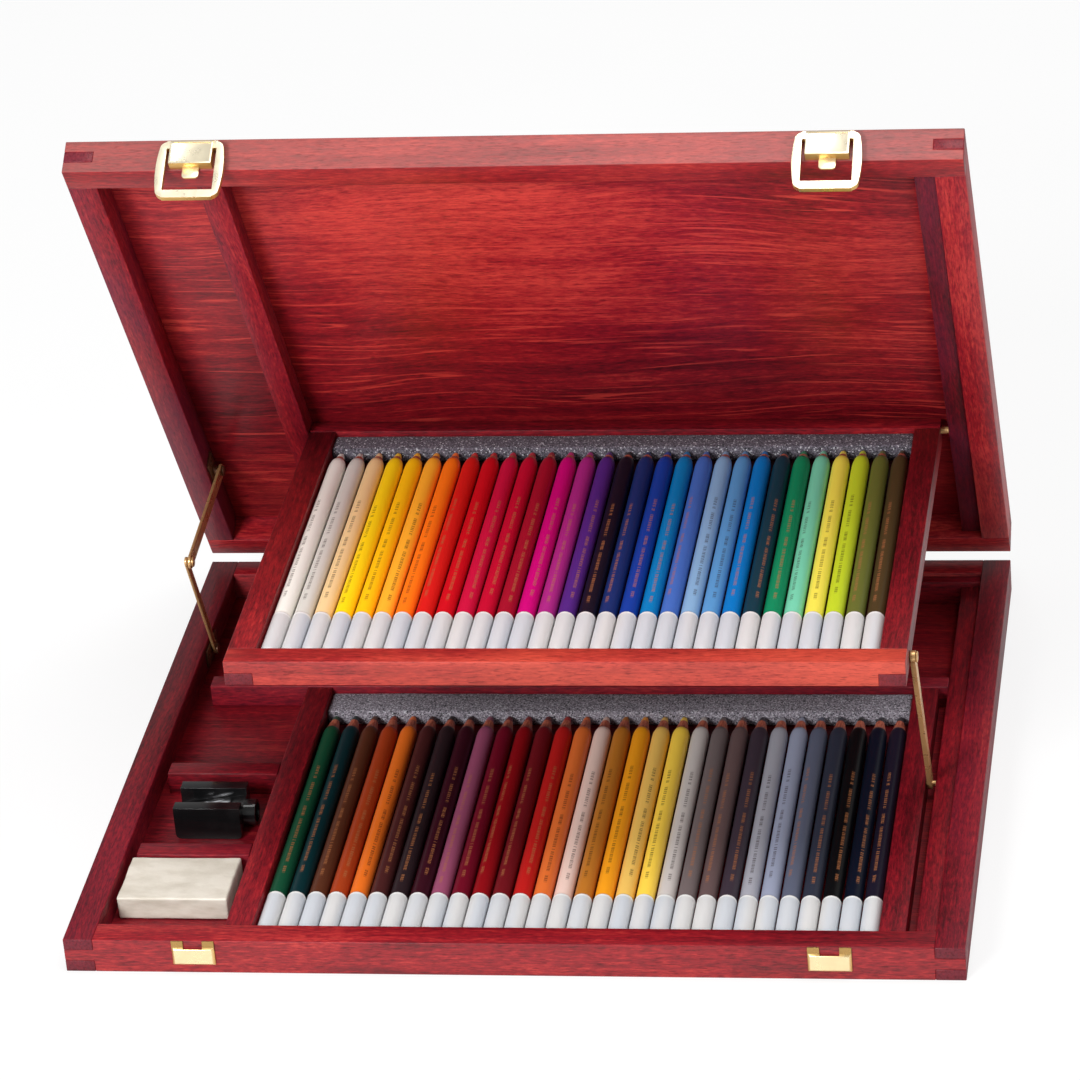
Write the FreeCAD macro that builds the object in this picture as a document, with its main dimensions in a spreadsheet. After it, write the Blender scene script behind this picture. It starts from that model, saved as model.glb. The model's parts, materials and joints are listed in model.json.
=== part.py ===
"""Wooden pencil case with a lifting tray, shown open as in the photograph.

Frame: origin at the centre of the case's underside, +X to the right along the
front, +Y from the front to the hinges, +Z up. Millimetres and degrees.
The case, the lid and the tray are sized from the pencils outwards.
"""
import FreeCAD, Part
import os
import re
import Sketcher

# Driving sizes: name, value, what it measures
SIZES = [
    ("pencil_length", 175.0, "a sharpened pencil, end to point"),
    ("pencil_diameter", 7.9, "round barrel"),
    ("pencil_pitch", 8.35, "barrel to barrel in a row"),
    ("pencil_cone", 8.5, "length of the bare wood cone"),
    ("pencil_lead", 3.5, "length of the lead point beyond the wood"),
    ("lead_diameter", 4.4, "lead where it leaves the wood"),
    ("point_diameter", 1.6, "blunt tip of the lead"),
    ("row_side_gap", 0.25, "free play beside a row of pencils"),
    ("row_end_gap", 0.5, "free play at the ends of a row"),
    ("wall_thickness", 12.0, "sides of the case and the lid"),
    ("base_height", 15.0, "lower half, outside"),
    ("rim_gap", 0.2, "between the rims of the closed case and lid"),
    ("seat_gap", 0.15, "loose things above what they lie on"),
    ("bottom_thickness", 3.0, "plywood bottom of the case"),
    ("lid_panel_thickness", 2.5, "plywood panel of the lid"),
    ("lid_gap", 2.5, "air between the closed tray and the lid's panel"),
    ("bay_width", 51.0, "accessory bays beside the left rail"),
    ("left_rail_width", 11.0, "rail left of the lower pencils"),
    ("right_rail_width", 10.5, "rail right of the lower pencils"),
    ("rail_rim", 1.6, "rails stand this far above the pencils"),
    ("slot_width", 4.0, "slot that takes the tray's arm"),
    ("batten_width", 8.5, "batten along the right wall, in case and lid"),
    ("batten_rim", 0.6, "case batten's top above the pencils"),
    ("foam_depth", 16.0, "lower foam strip, front to back"),
    ("foam_height", 7.0, "both foam strips"),
    ("bar_depth", 8.5, "cross bar behind the foam"),
    ("bar_height", 10.0, "cross bar above the bottom"),
    ("bar_inset", 8.0, "cross bar's left end from the wall"),
    ("rear_bay_depth", 81.5, "free space behind the cross bar"),
    ("rear_bar_depth", 6.0, "ledge along the back wall"),
    ("rear_bar_height", 10.5, "ledge above the bottom"),
    ("rear_bar_inset", 11.0, "ledge's left end from the wall"),
    ("divider_thickness", 9.0, "dividers of the accessory bays"),
    ("divider_height", 10.0, "dividers above the bottom"),
    ("divider_inset", 4.0, "dividers' left end from the wall"),
    ("eraser_bay_depth", 55.0, "front bay, front wall to divider"),
    ("sharpener_bay_depth", 55.0, "middle bay, divider to divider"),
    ("eraser_length", 46.0, "along X"),
    ("eraser_width", 32.0, "along Y"),
    ("eraser_height", 10.0, "along Z"),
    ("eraser_inset", 2.5, "eraser from the left wall"),
    ("eraser_back_gap", 1.5, "eraser from the divider behind it"),
    ("eraser_round", 1.6, "worn edges of the eraser"),
    ("sharpener_length", 28.0, "along X, without the boss"),
    ("sharpener_width", 22.0, "along Y"),
    ("sharpener_height", 14.6, "along Z"),
    ("sharpener_inset", 14.0, "sharpener from the left wall"),
    ("sharpener_back_gap", 14.0, "sharpener from the divider behind it"),
    ("ear_thickness", 5.5, "grip ears of the sharpener"),
    ("saddle_depth", 3.0, "blade's seat below the ears, at the mouth"),
    ("saddle_fall", 5.0, "how far the seat drops away from the mouth"),
    ("boss_radius", 5.5, "round mouth of the sharpener"),
    ("boss_length", 5.0, "mouth beyond the body"),
    ("boss_rise", 6.6, "mouth's axis above the underside"),
    ("blade_thickness", 0.6, "sharpener blade"),
    ("blade_length", 22.0, "sharpener blade, along X"),
    ("blade_width", 8.0, "sharpener blade, along Y"),
    ("blade_screw_radius", 2.0, "head of the blade's screw"),
    ("blade_shank_radius", 1.0, "shank of the blade's screw"),
    ("blade_screw_head", 1.2, "height of that head"),
    ("blade_screw_depth", 4.0, "shank of that screw in the body"),
    ("tray_front_rail", 11.0, "tray frame, front"),
    ("tray_rear_rail", 9.0, "tray frame, back"),
    ("tray_left_rail", 11.5, "tray frame, left"),
    ("tray_right_rail", 10.8, "tray frame, right"),
    ("tray_foam_depth", 12.0, "foam strip in the tray, front to back"),
    ("tray_panel_thickness", 2.0, "plywood bottom of the tray"),
    ("tray_rim", 1.1, "tray frame above the pencils"),
    ("tray_lift_gap", 3.1, "air between lower pencils and closed tray"),
    ("tray_front_gap", 1.5, "closed tray from the front wall"),
    ("tray_side_gap", 0.5, "tray from the lid's left batten"),
    ("lid_batten_width", 10.0, "lid's left batten"),
    ("lid_batten_recess", 3.0, "lid battens behind the rim"),
    ("lid_batten_end_gap", 1.5, "battens from the lid's front and back walls"),
    ("lid_opening", 58.0, "lid's angle from closed, as photographed"),
    ("hinge_setback", 3.5, "hinge axis behind the back face"),
    ("knuckle_wood_gap", 0.3, "knuckles from the back walls"),
    ("hinge_length", 38.0, "butt hinge along X"),
    ("hinge_inset", 62.0, "hinge's outer end from the side of the case"),
    ("hinge_leaf_height", 10.0, "leaf above or below the axis"),
    ("hinge_leaf_thickness", 1.4, "leaf"),
    ("hinge_leaf_gap", 0.3, "between the two leaves when closed"),
    ("hinge_pin_radius", 1.2, "hinge pin"),
    ("knuckle_gap", 0.3, "between neighbouring knuckles"),
    ("running_gap", 0.06, "radial clearance of a pin in its hole"),
    ("open_pivot_gap", 0.3, "radial clearance where a linkage loop is open"),
    ("screw_radius", 1.3, "shank of a wood screw"),
    ("screw_head_radius", 2.4, "head of a wood screw"),
    ("screw_head_height", 0.8, "head of a wood screw"),
    ("screw_length", 8.0, "wood screw below its head"),
    ("pivot_setback", 4.4, "tray's rear pivots from its back edge"),
    ("pivot_rise", 7.5, "tray's rear pivots above its underside"),
    ("pivot_radius", 1.5, "tray's rear pivot pins"),
    ("pivot_grip", 6.0, "length of a pivot pin in the batten and in the tray"),
    ("arm_setback", 19.0, "arm's rivet from the tray's front edge"),
    ("arm_rise", 2.6, "arm's rivet above the tray's underside"),
    ("arm_pin_radius", 1.1, "rivet and pin of the arm"),
    ("arm_width", 5.0, "brass arm"),
    ("arm_thickness", 2.0, "brass arm"),
    ("arm_side_gap", 0.3, "arm from the tray's side"),
    ("arm_pin_grip", 5.0, "arm's pins in the wood"),
    ("rivet_head_height", 0.9, "heads of the brass rivets"),
    ("rivet_head_radius", 2.3, "heads of the brass rivets"),
    ("stay_base_reach", 72.0, "stay's lower pivot in front of the hinge axis"),
    ("stay_lid_reach", 68.0, "stay's upper pivot from the hinge axis"),
    ("stay_offset", 6.0, "both stay pivots from the rim"),
    ("stay_width", 4.0, "lower bar of the stay"),
    ("stay_lid_width", 6.0, "upper bar of the stay"),
    ("stay_thickness", 1.2, "both bars of the stay"),
    ("stay_gap", 0.6, "between the stay's layers"),
    ("stay_plate_thickness", 1.0, "brass plates that carry the stay"),
    ("stay_plate_length", 20.0, "those plates along the wall"),
    ("stay_plate_height", 8.0, "those plates across the wall"),
    ("stay_pin_radius", 1.1, "stay's pins"),
    ("small_screw_radius", 0.7, "screws of the stay's plates"),
    ("small_screw_head_radius", 1.3, "heads of those screws"),
    ("small_screw_head_height", 0.45, "heads of those screws"),
    ("small_screw_inset", 3.0, "those screws from the plate's ends"),
    ("clasp_inset", 53.0, "clasp's centre from the side of the case"),
    ("loop_width", 27.5, "clasp loop, outside"),
    ("loop_side", 4.3, "side bars of the loop"),
    ("loop_bar", 3.0, "bottom bar of the loop"),
    ("loop_thickness", 2.4, "loop"),
    ("loop_wall_gap", 0.9, "loop from the wood"),
    ("loop_pin_radius", 1.0, "loop's top bar"),
    ("loop_pin_rise", 11.2, "loop's top bar above the rim"),
    ("loop_end_rise", 0.6, "loop's lower edge above the underside, closed"),
    ("hood_width", 17.3, "hood that carries the loop"),
    ("hood_depth", 4.4, "hood off the wood"),
    ("hood_top", 13.0, "hood's upper edge above the rim"),
    ("hood_bottom", 1.0, "hood's lower edge above the rim"),
    ("tongue_width", 6.8, "tongue below the hood"),
    ("tongue_length", 4.9, "tongue below the hood"),
    ("tongue_thickness", 1.2, "tongue"),
    ("tongue_gap", 0.3, "tongue off the wood"),
    ("catch_width", 17.4, "catch on the case's front"),
    ("catch_thickness", 1.6, "catch"),
    ("catch_top", 2.5, "catch's plate below the rim"),
    ("catch_bottom_gap", 0.4, "catch above the closed loop's bar"),
    ("ear_width", 4.8, "ears of the catch beside the tongue"),
    ("tongue_slot_gap", 0.3, "tongue's end above the floor of its slot"),
    ("prong_radius", 1.3, "prongs that hold clasp plates in the wood"),
    ("prong_length", 5.0, "those prongs in the wood"),
]

# Places and sizes worked out from the driving sizes
DERIVED = {
    "bottom_top": "bottom_thickness",
    "row_width": "PENCILS * pencil_pitch + 2 * row_side_gap",
    "row_length": "pencil_length + 2 * row_end_gap",
    "case_width": "2 * wall_thickness + bay_width + left_rail_width + row_width"
                  " + right_rail_width + slot_width + batten_width",
    "case_depth": "2 * wall_thickness + row_length + foam_depth + bar_depth"
                  " + rear_bay_depth + rear_bar_depth",
    "left_face": "-case_width / 2",
    "front_face": "-case_depth / 2",
    "inner_left": "left_face + wall_thickness",
    "inner_right": "-inner_left",
    "inner_front": "front_face + wall_thickness",
    "inner_back": "-inner_front",
    "inner_width": "case_width - 2 * wall_thickness",
    "inner_depth": "case_depth - 2 * wall_thickness",
    "row_left": "inner_left + bay_width + left_rail_width",
    "row_right": "row_left + row_width",
    "slot_left": "row_right + right_rail_width",
    "slot_right": "slot_left + slot_width",
    "rail_height": "pencil_diameter + rail_rim",
    "foam_front": "inner_front + row_length",
    "bar_front": "foam_front + foam_depth",
    "rear_bar_front": "inner_back - rear_bar_depth",
    "divider_front": "inner_front + eraser_bay_depth",
    "divider_rear": "divider_front + divider_thickness + sharpener_bay_depth",
    "tray_bottom": "bottom_thickness + pencil_diameter + tray_lift_gap",
    "tray_thickness": "tray_panel_thickness + pencil_diameter + tray_rim",
    "closed_height": "tray_bottom + tray_thickness + lid_gap + lid_panel_thickness",
    "lid_rim": "base_height + rim_gap",
    "lid_height": "closed_height - lid_rim",
    "tray_depth": "tray_front_rail + row_length + tray_foam_depth + tray_rear_rail",
    "tray_front": "inner_front + tray_front_gap",
    "tray_left": "row_left - tray_left_rail",
    "tray_right": "row_right + tray_right_rail",
    "hinge_y": "case_depth / 2 + hinge_setback",
    "hinge_z": "base_height",
    "pivot_y": "tray_front + tray_depth - pivot_setback",
    "pivot_z": "tray_bottom + pivot_rise",
    "pivot_back": "hinge_y - pivot_y",
    "pivot_up": "pivot_z - hinge_z",
    "turn_cos": "cos(lid_opening * 1deg)",
    "turn_sin": "sin(lid_opening * 1deg)",
    "open_pivot_y": "hinge_y - pivot_back * turn_cos + pivot_up * turn_sin",
    "open_pivot_z": "hinge_z + pivot_back * turn_sin + pivot_up * turn_cos",
    "arm_length": "sqrt(pivot_back * pivot_back + pivot_up * pivot_up)",
    "arm_slope": "atan(pivot_up / pivot_back) / 1deg",
    "arm_pin_y": "hinge_y + tray_front + arm_setback - pivot_y",
    "arm_pin_z": "hinge_z + tray_bottom + arm_rise - pivot_z",
    "arm_left": "tray_right + arm_side_gap",
    "rivet_y": "tray_front + arm_setback - pivot_y",
    "rivet_z": "tray_bottom + arm_rise - pivot_z",
    "stay_slope_lid": "atan(stay_offset / stay_lid_reach) / 1deg",
    "stay_slope_base": "atan(stay_offset / stay_base_reach) / 1deg",
    "stay_lower_length": "sqrt(stay_lid_reach * stay_lid_reach"
                         " + stay_offset * stay_offset)",
    "stay_upper_length": "sqrt(stay_base_reach * stay_base_reach"
                         " + stay_offset * stay_offset)",
    "stay_lower_left": "inner_left + stay_plate_thickness + stay_gap",
    "stay_upper_left": "stay_lower_left + stay_thickness + stay_gap",
    "open_stay_y": "hinge_y - stay_lid_reach * turn_cos + stay_offset * turn_sin",
    "open_stay_z": "hinge_z + stay_lid_reach * turn_sin + stay_offset * turn_cos",
    "clasp_x": "case_width / 2 - clasp_inset",
    "loop_length": "base_height + loop_pin_rise - loop_end_rise",
    "loop_pin_off": "loop_wall_gap + loop_thickness / 2",
    "catch_low": "loop_end_rise + loop_bar + catch_bottom_gap",
    "saddle_turn": "atan(saddle_fall / sharpener_length) / 1deg",
}

# Counts, and places given as shares of the size that they follow
PENCILS = 30
PENCIL_GROUPS = 3
FINGERS = 3
KNUCKLES = 5
LEAF_SCREW_SHARE = "2 / 3"
LEAF_SCREW_SPREAD_SHARES = ("1 / 6", "1 / 2", "5 / 6")
SADDLE_LEAD_SHARE = "1 / 4"
BLADE_SCREW_SHARE = "2 / 5"
CONSTANTS = {"PENCILS": str(PENCILS)}

doc = FreeCAD.newDocument("PencilCase")
sheet = doc.addObject("Spreadsheet::Sheet", "Sizes")
sheet.Label = "Sizes"
for row, (alias, value, meaning) in enumerate(SIZES, start=1):
    sheet.set(f"A{row}", meaning)
    sheet.set(f"B{row}", str(value))
    sheet.setAlias(f"B{row}", alias)
doc.recompute()
ALIASES = {alias for alias, value, meaning in SIZES}
FINISHED = []
NAME = re.compile(r"[A-Za-z_]+[A-Za-z_0-9]*")


def expression(text):
    """Turn plain size names into an expression that reads the sheet."""
    def swap(match):
        word = match.group(0)
        if word in ALIASES:
            return "Sizes." + word
        if word in CONSTANTS:
            return CONSTANTS[word]
        if word in DERIVED:
            return "(" + expression(DERIVED[word]) + ")"
        return word
    return NAME.sub(swap, text)


def bind(thing, **texts):
    """Bind properties to size expressions; __ in a key stands for a dot."""
    for key, text in texts.items():
        thing.setExpression(key.replace("__", "."), expression(text))
    return thing


def place(thing, x="0", y="0", z="0"):
    bind(thing, Placement__Base__x=x, Placement__Base__y=y, Placement__Base__z=z)
    return thing


def turn(thing, axis, angle):
    """Give a piece a turn about an axis through its own origin."""
    thing.Placement = FreeCAD.Placement(FreeCAD.Vector(), FreeCAD.Rotation(axis, 1.0))
    bind(thing, Placement__Rotation__Angle=f"({angle}) * 1deg")
    return thing


X_AXIS = FreeCAD.Vector(1, 0, 0)
Y_AXIS = FreeCAD.Vector(0, 1, 0)


def block(name, corner, size):
    """A plain box from its low corner and its three sizes."""
    box = doc.addObject("Part::Box", name)
    bind(box, Length=size[0], Width=size[1], Height=size[2])
    return place(box, *corner)


def rod(name, start, radius, length):
    """A round bar along +X."""
    bar = doc.addObject("Part::Cylinder", name)
    turn(bar, Y_AXIS, "90")
    bind(bar, Radius=radius, Height=length)
    return place(bar, *start)


def rod_y(name, start, radius, length):
    """A round bar along +Y."""
    bar = doc.addObject("Part::Cylinder", name)
    turn(bar, X_AXIS, "-90")
    bind(bar, Radius=radius, Height=length)
    return place(bar, *start)


def joined(name, pieces):
    fuse = doc.addObject("Part::MultiFuse", name)
    fuse.Shapes = pieces
    return fuse


def group(name, pieces):
    compound = doc.addObject("Part::Compound", name)
    compound.Links = pieces
    return compound


def without(name, base, tool):
    cut = doc.addObject("Part::Cut", name)
    cut.Base = base
    cut.Tool = tool
    return cut


def finish(thing, label):
    """Name a finished piece: its label names its node."""
    thing.Label = label
    FINISHED.append(thing)
    return thing


def board(label, corner, size):
    """A sawn board: a sketched rectangle, padded to its height."""
    body = doc.addObject("PartDesign::Body", label + "_body")
    flat = [f for f in body.Origin.OriginFeatures if f.Role == "XY_Plane"][0]
    sketch = body.newObject("Sketcher::SketchObject", label + "_outline")
    sketch.AttachmentSupport = [(flat, "")]
    sketch.MapMode = "FlatFace"
    corners = [FreeCAD.Vector(a, b, 0) for a, b in ((0, 0), (1, 0), (1, 1), (0, 1))]
    for start, end in zip(corners, corners[1:] + corners[:1]):
        sketch.addGeometry(Part.LineSegment(start, end), False)
    for edge in range(4):
        following = (edge + 1) % 4
        sketch.addConstraint(Sketcher.Constraint("Coincident", edge, 2, following, 1))
        level = "Horizontal" if edge % 2 == 0 else "Vertical"
        sketch.addConstraint(Sketcher.Constraint(level, edge))
    sketch.addConstraint(Sketcher.Constraint("Coincident", 0, 1, -1, 1))
    across = sketch.addConstraint(Sketcher.Constraint("DistanceX", 0, 1, 0, 2, 1.0))
    along = sketch.addConstraint(Sketcher.Constraint("DistanceY", 1, 1, 1, 2, 1.0))
    sketch.setExpression(f"Constraints[{across}]", expression(size[0]))
    sketch.setExpression(f"Constraints[{along}]", expression(size[1]))
    pad = body.newObject("PartDesign::Pad", label + "_pad")
    pad.Profile = sketch
    bind(pad, Length=size[2])
    body.Tip = pad
    place(body, *corner)
    return finish(body, label)


def in_case(thing):
    """Case pieces are drawn where they are."""
    return thing


def in_lid(thing):
    """Lid pieces are drawn closed, round the hinge axis, and turned open."""
    turn(thing, X_AXIS, "-lid_opening")
    return place(thing, "0", "hinge_y", "hinge_z")


def in_tray(thing):
    """Tray pieces are drawn round the rear pivots and lifted level."""
    return place(thing, "0", "open_pivot_y", "open_pivot_z")


# Frames of case and lid: walls joined by three fingers at each corner

def frame_walls(prefix, low, height, side_fingers, y_shift, z_shift, settle):
    """Four walls. side_fingers are the thirds whose end grain faces front."""
    finger = f"({height}) / {FINGERS}"
    front = f"front_face - ({y_shift})"
    floor = f"({low}) - ({z_shift})"
    for end, y_corner in (("front", front), ("back", f"{front} + case_depth - wall_thickness")):
        name = f"{prefix}_{end}_wall"
        beam = block(name + "_beam", ("left_face", y_corner, floor),
                     ("case_width", "wall_thickness", height))
        notches = []
        for third in side_fingers:
            level = f"{floor} + {third} * {finger}"
            for side, x_corner in (("l", "left_face"), ("r", "inner_right")):
                notches.append(block(f"{name}_notch_{side}{third}", (x_corner, y_corner, level),
                                     ("wall_thickness", "wall_thickness", finger)))
        settle(finish(without(name, beam, joined(name + "_notches", notches)), name))
    for side, x_corner in (("left", "left_face"), ("right", "inner_right")):
        name = f"{prefix}_{side}_wall"
        parts = [block(name + "_beam", (x_corner, f"{front} + wall_thickness", floor),
                       ("wall_thickness", "inner_depth", height))]
        for third in side_fingers:
            level = f"{floor} + {third} * {finger}"
            parts.append(block(f"{name}_finger_{third}", (x_corner, front, level),
                               ("wall_thickness", "case_depth", finger)))
        settle(finish(joined(name, parts), name))


frame_walls("case", "0", "base_height", (0, 2), "0", "0", in_case)
frame_walls("lid", "lid_rim", "lid_height", (1,), "hinge_y", "hinge_z", in_lid)


# Inside of the case

board("case_bottom", ("inner_left", "inner_front", "0"),
      ("inner_width", "inner_depth", "bottom_thickness"))
board("case_left_rail", ("row_left - left_rail_width", "inner_front", "bottom_top"),
      ("left_rail_width", "bar_front - inner_front", "rail_height"))
board("case_right_batten", ("slot_right", "inner_front", "bottom_top"),
      ("batten_width", "rear_bar_front - inner_front", "pencil_diameter + batten_rim"))
board("case_rear_ledge", ("inner_left + rear_bar_inset", "rear_bar_front", "bottom_top"),
      ("inner_width - rear_bar_inset", "rear_bar_depth", "rear_bar_height"))
board("case_cross_bar", ("inner_left + bar_inset", "bar_front", "bottom_top"),
      ("slot_right - inner_left - bar_inset", "bar_depth", "bar_height"))
board("case_foam", ("row_left", "foam_front", "bottom_top"),
      ("row_width", "foam_depth", "foam_height"))
for label, divider_y in (("front_divider", "divider_front"), ("rear_divider", "divider_rear")):
    board(label, ("inner_left + divider_inset", divider_y, "bottom_top"),
          ("bay_width - divider_inset", "divider_thickness", "divider_height"))

# The right rail carries the arm's pin, so it is drilled for it.
rail = block("right_rail_blank", ("row_right", "inner_front", "bottom_top"),
             ("right_rail_width", "bar_front - inner_front", "rail_height"))
rail_hole = rod("right_rail_hole", ("slot_left - arm_pin_grip", "arm_pin_y", "arm_pin_z"),
                "arm_pin_radius", "arm_pin_grip + slot_width")
finish(without("right_rail_cut", rail, rail_hole), "case_right_rail")


# Inside of the lid

LID_FRONT = "inner_front - hinge_y + lid_batten_end_gap"
lid_board = block("lid_board", ("inner_left", "inner_front - hinge_y",
                                "closed_height - lid_panel_thickness - hinge_z"),
                  ("inner_width", "inner_depth", "lid_panel_thickness"))
in_lid(finish(group("lid_board_set", [lid_board]), "lid_panel"))
LEFT_SEAT = "tray_left - tray_side_gap"
for label, corner_x, width, hole_x in (
        ("lid_left_batten", f"{LEFT_SEAT} - lid_batten_width", "lid_batten_width",
         f"{LEFT_SEAT} - pivot_grip"),
        ("lid_right_batten", "slot_right", "batten_width", "slot_right")):
    blank = block(label + "_blank", (corner_x, LID_FRONT, "lid_batten_recess"),
                  (width, "inner_depth - 2 * lid_batten_end_gap",
                   "closed_height - lid_panel_thickness - hinge_z - lid_batten_recess"))
    hole = rod(label + "_hole", (hole_x, "-pivot_back", "pivot_up"), "pivot_radius", "pivot_grip")
    in_lid(finish(without(label + "_cut", blank, hole), label))

left_pivot = rod("left_pivot_pin", (f"{LEFT_SEAT} - pivot_grip", "-pivot_back", "pivot_up"),
                 "pivot_radius", "2 * pivot_grip + tray_side_gap")
right_pivot = rod("right_pivot_pin", ("tray_right - pivot_grip", "-pivot_back", "pivot_up"),
                  "pivot_radius", "slot_right - tray_right + 2 * pivot_grip")
in_lid(finish(group("tray_pivot_pair", [left_pivot, right_pivot]), "tray_pivot_pins"))


# Tray, drawn round its rear pivots

TRAY_X = "tray_left"
TRAY_Y = "tray_front - pivot_y"
TRAY_Z = "tray_bottom - pivot_z"
TRAY_WIDTH = "tray_right - tray_left"
TRAY_HALF = "tray_thickness / 2"


def tray_cross_rail(label, y_corner, depth):
    """Front and back rails run full width; their lower corners are notched."""
    beam = block(label + "_beam", (TRAY_X, y_corner, TRAY_Z), (TRAY_WIDTH, depth, "tray_thickness"))
    notches = [block(label + "_notch_l", (TRAY_X, y_corner, TRAY_Z),
                     ("tray_left_rail", depth, TRAY_HALF)),
               block(label + "_notch_r", ("row_right", y_corner, TRAY_Z),
                     ("tray_right_rail", depth, TRAY_HALF))]
    return without(label + "_cut", beam, joined(label + "_notches", notches))


def tray_side_rail(label, x_corner, width, holes):
    """Side rails reach through the corners in their lower half."""
    bar = block(label + "_bar", (x_corner, f"{TRAY_Y} + tray_front_rail", TRAY_Z),
                (width, "tray_depth - tray_front_rail - tray_rear_rail", "tray_thickness"))
    foot = block(label + "_foot", (x_corner, TRAY_Y, TRAY_Z), (width, "tray_depth", TRAY_HALF))
    return without(label + "_cut", joined(label + "_shape", [bar, foot]), holes)


front_rail = tray_cross_rail("tray_front", TRAY_Y, "tray_front_rail")
in_tray(finish(front_rail, "tray_front_rail"))
rear_holes = [rod("tray_rear_hole_l", ("tray_left - tray_side_gap", "0", "0"),
                  "pivot_radius + running_gap", "pivot_grip + 2 * tray_side_gap"),
              rod("tray_rear_hole_r", ("tray_right - pivot_grip - tray_side_gap", "0", "0"),
                  "pivot_radius + running_gap", "pivot_grip + 2 * tray_side_gap")]
rear_rail = tray_cross_rail("tray_rear", "pivot_setback - tray_rear_rail", "tray_rear_rail")
in_tray(finish(without("tray_rear_drilled", rear_rail, joined("tray_rear_holes", rear_holes)),
               "tray_rear_rail"))
left_holes = rod("tray_left_hole", ("tray_left - tray_side_gap", "0", "0"),
                 "pivot_radius + running_gap", "pivot_grip + 2 * tray_side_gap")
in_tray(finish(tray_side_rail("tray_left_side", TRAY_X, "tray_left_rail", left_holes),
               "tray_left_rail"))
right_holes = joined("tray_right_holes", [
    rod("tray_right_hole", ("tray_right - pivot_grip - tray_side_gap", "0", "0"),
        "pivot_radius + running_gap", "pivot_grip + 2 * tray_side_gap"),
    rod("tray_rivet_hole", ("tray_right - arm_pin_grip", "rivet_y", "rivet_z"),
        "arm_pin_radius", "arm_pin_grip + arm_side_gap")])
in_tray(finish(tray_side_rail("tray_right_side", "row_right", "tray_right_rail", right_holes),
               "tray_right_rail"))
tray_board = block("tray_board", ("row_left", f"{TRAY_Y} + tray_front_rail", TRAY_Z),
                   ("row_width", "row_length + tray_foam_depth", "tray_panel_thickness"))
in_tray(finish(group("tray_board_set", [tray_board]), "tray_panel"))
foam_strip = block("tray_foam_strip", ("row_left", f"{TRAY_Y} + tray_front_rail + row_length",
                                       f"{TRAY_Z} + tray_panel_thickness"),
                   ("row_width", "tray_foam_depth", "foam_height"))
in_tray(finish(group("tray_foam_set", [foam_strip]), "tray_foam"))


# Pencils: each one is a round barrel, a wood cone and a lead point

def pencil(name, x, y, z):
    barrel = rod_y(name + "_barrel", (x, y, z), "pencil_diameter / 2",
                   "pencil_length - pencil_cone - pencil_lead")
    wood = doc.addObject("Part::Cone", name + "_wood")
    lead = doc.addObject("Part::Cone", name + "_lead")
    for cone in (wood, lead):
        turn(cone, X_AXIS, "-90")
    bind(wood, Radius1="pencil_diameter / 2", Radius2="lead_diameter / 2", Height="pencil_cone")
    bind(lead, Radius1="lead_diameter / 2", Radius2="point_diameter / 2", Height="pencil_lead")
    place(wood, x, f"{y} + pencil_length - pencil_cone - pencil_lead", z)
    place(lead, x, f"{y} + pencil_length - pencil_lead", z)
    return joined(name, [barrel, wood, lead])


def pencil_row(prefix, y, z, settle):
    per_group = PENCILS // PENCIL_GROUPS
    for number in range(PENCIL_GROUPS):
        members = []
        for place_in_row in range(number * per_group, (number + 1) * per_group):
            x = f"row_left + row_side_gap + ({place_in_row} + 1 / 2) * pencil_pitch"
            members.append(pencil(f"{prefix}_{place_in_row + 1}", x, y, z))
        settle(finish(group(f"{prefix}_group_{number + 1}", members),
                      f"{prefix}s_{number + 1}"))


PENCIL_AXIS = "seat_gap + pencil_diameter / 2"
pencil_row("case_pencil", "inner_front + row_end_gap", f"bottom_top + {PENCIL_AXIS}", in_case)
pencil_row("tray_pencil", f"{TRAY_Y} + tray_front_rail + row_end_gap",
           f"{TRAY_Z} + tray_panel_thickness + {PENCIL_AXIS}", in_tray)


# Butt hinges on the back faces

def hinge(side, start_x):
    """Five knuckles round one pin: three on the case's leaf, two on the lid's."""
    knuckle = f"(hinge_length - {KNUCKLES - 1} * knuckle_gap) / {KNUCKLES}"
    barrel_radius = "(hinge_setback - knuckle_wood_gap)"
    for owner, slots, leaf_z, settle in (
            ("case", (0, 2, 4), "-hinge_leaf_gap / 2 - hinge_leaf_height", None),
            ("lid", (1, 3), "hinge_leaf_gap / 2", in_lid)):
        name = f"hinge_{side}_{owner}"
        leaf = block(name + "_plate", (start_x, "-hinge_setback", leaf_z),
                     ("hinge_length", "hinge_leaf_thickness", "hinge_leaf_height"))
        parts = [leaf]
        gaps = []
        for slot in range(KNUCKLES):
            x = f"{start_x} + {slot} * ({knuckle} + knuckle_gap)"
            if slot in slots:
                parts.append(rod(f"{name}_knuckle_{slot}", (x, "0", "0"), barrel_radius, knuckle))
            else:
                gaps.append(rod(f"{name}_gap_{slot}", (f"{x} - knuckle_gap", "0", "0"),
                                f"{barrel_radius} + knuckle_gap", f"{knuckle} + 2 * knuckle_gap"))
        gaps.append(rod(name + "_bore", (f"{start_x} - knuckle_gap", "0", "0"),
                        "hinge_pin_radius" + (" + running_gap" if owner == "lid" else ""),
                        "hinge_length + 2 * knuckle_gap"))
        leaf_solid = without(name + "_cut", joined(name + "_shape", parts),
                             joined(name + "_gaps", gaps))
        finish(leaf_solid, f"hinge_{side}_{owner}_leaf")
        if settle:
            settle(leaf_solid)
        else:
            place(leaf_solid, "0", "hinge_y", "hinge_z")
    finish(rod(f"hinge_{side}_pin_rod", (start_x, "hinge_y", "hinge_z"),
               "hinge_pin_radius", "hinge_length"), f"hinge_{side}_pin")


HINGE_STARTS = {"left": "left_face + hinge_inset",
                "right": "-left_face - hinge_inset - hinge_length"}
for side, start in HINGE_STARTS.items():
    hinge(side, start)


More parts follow.
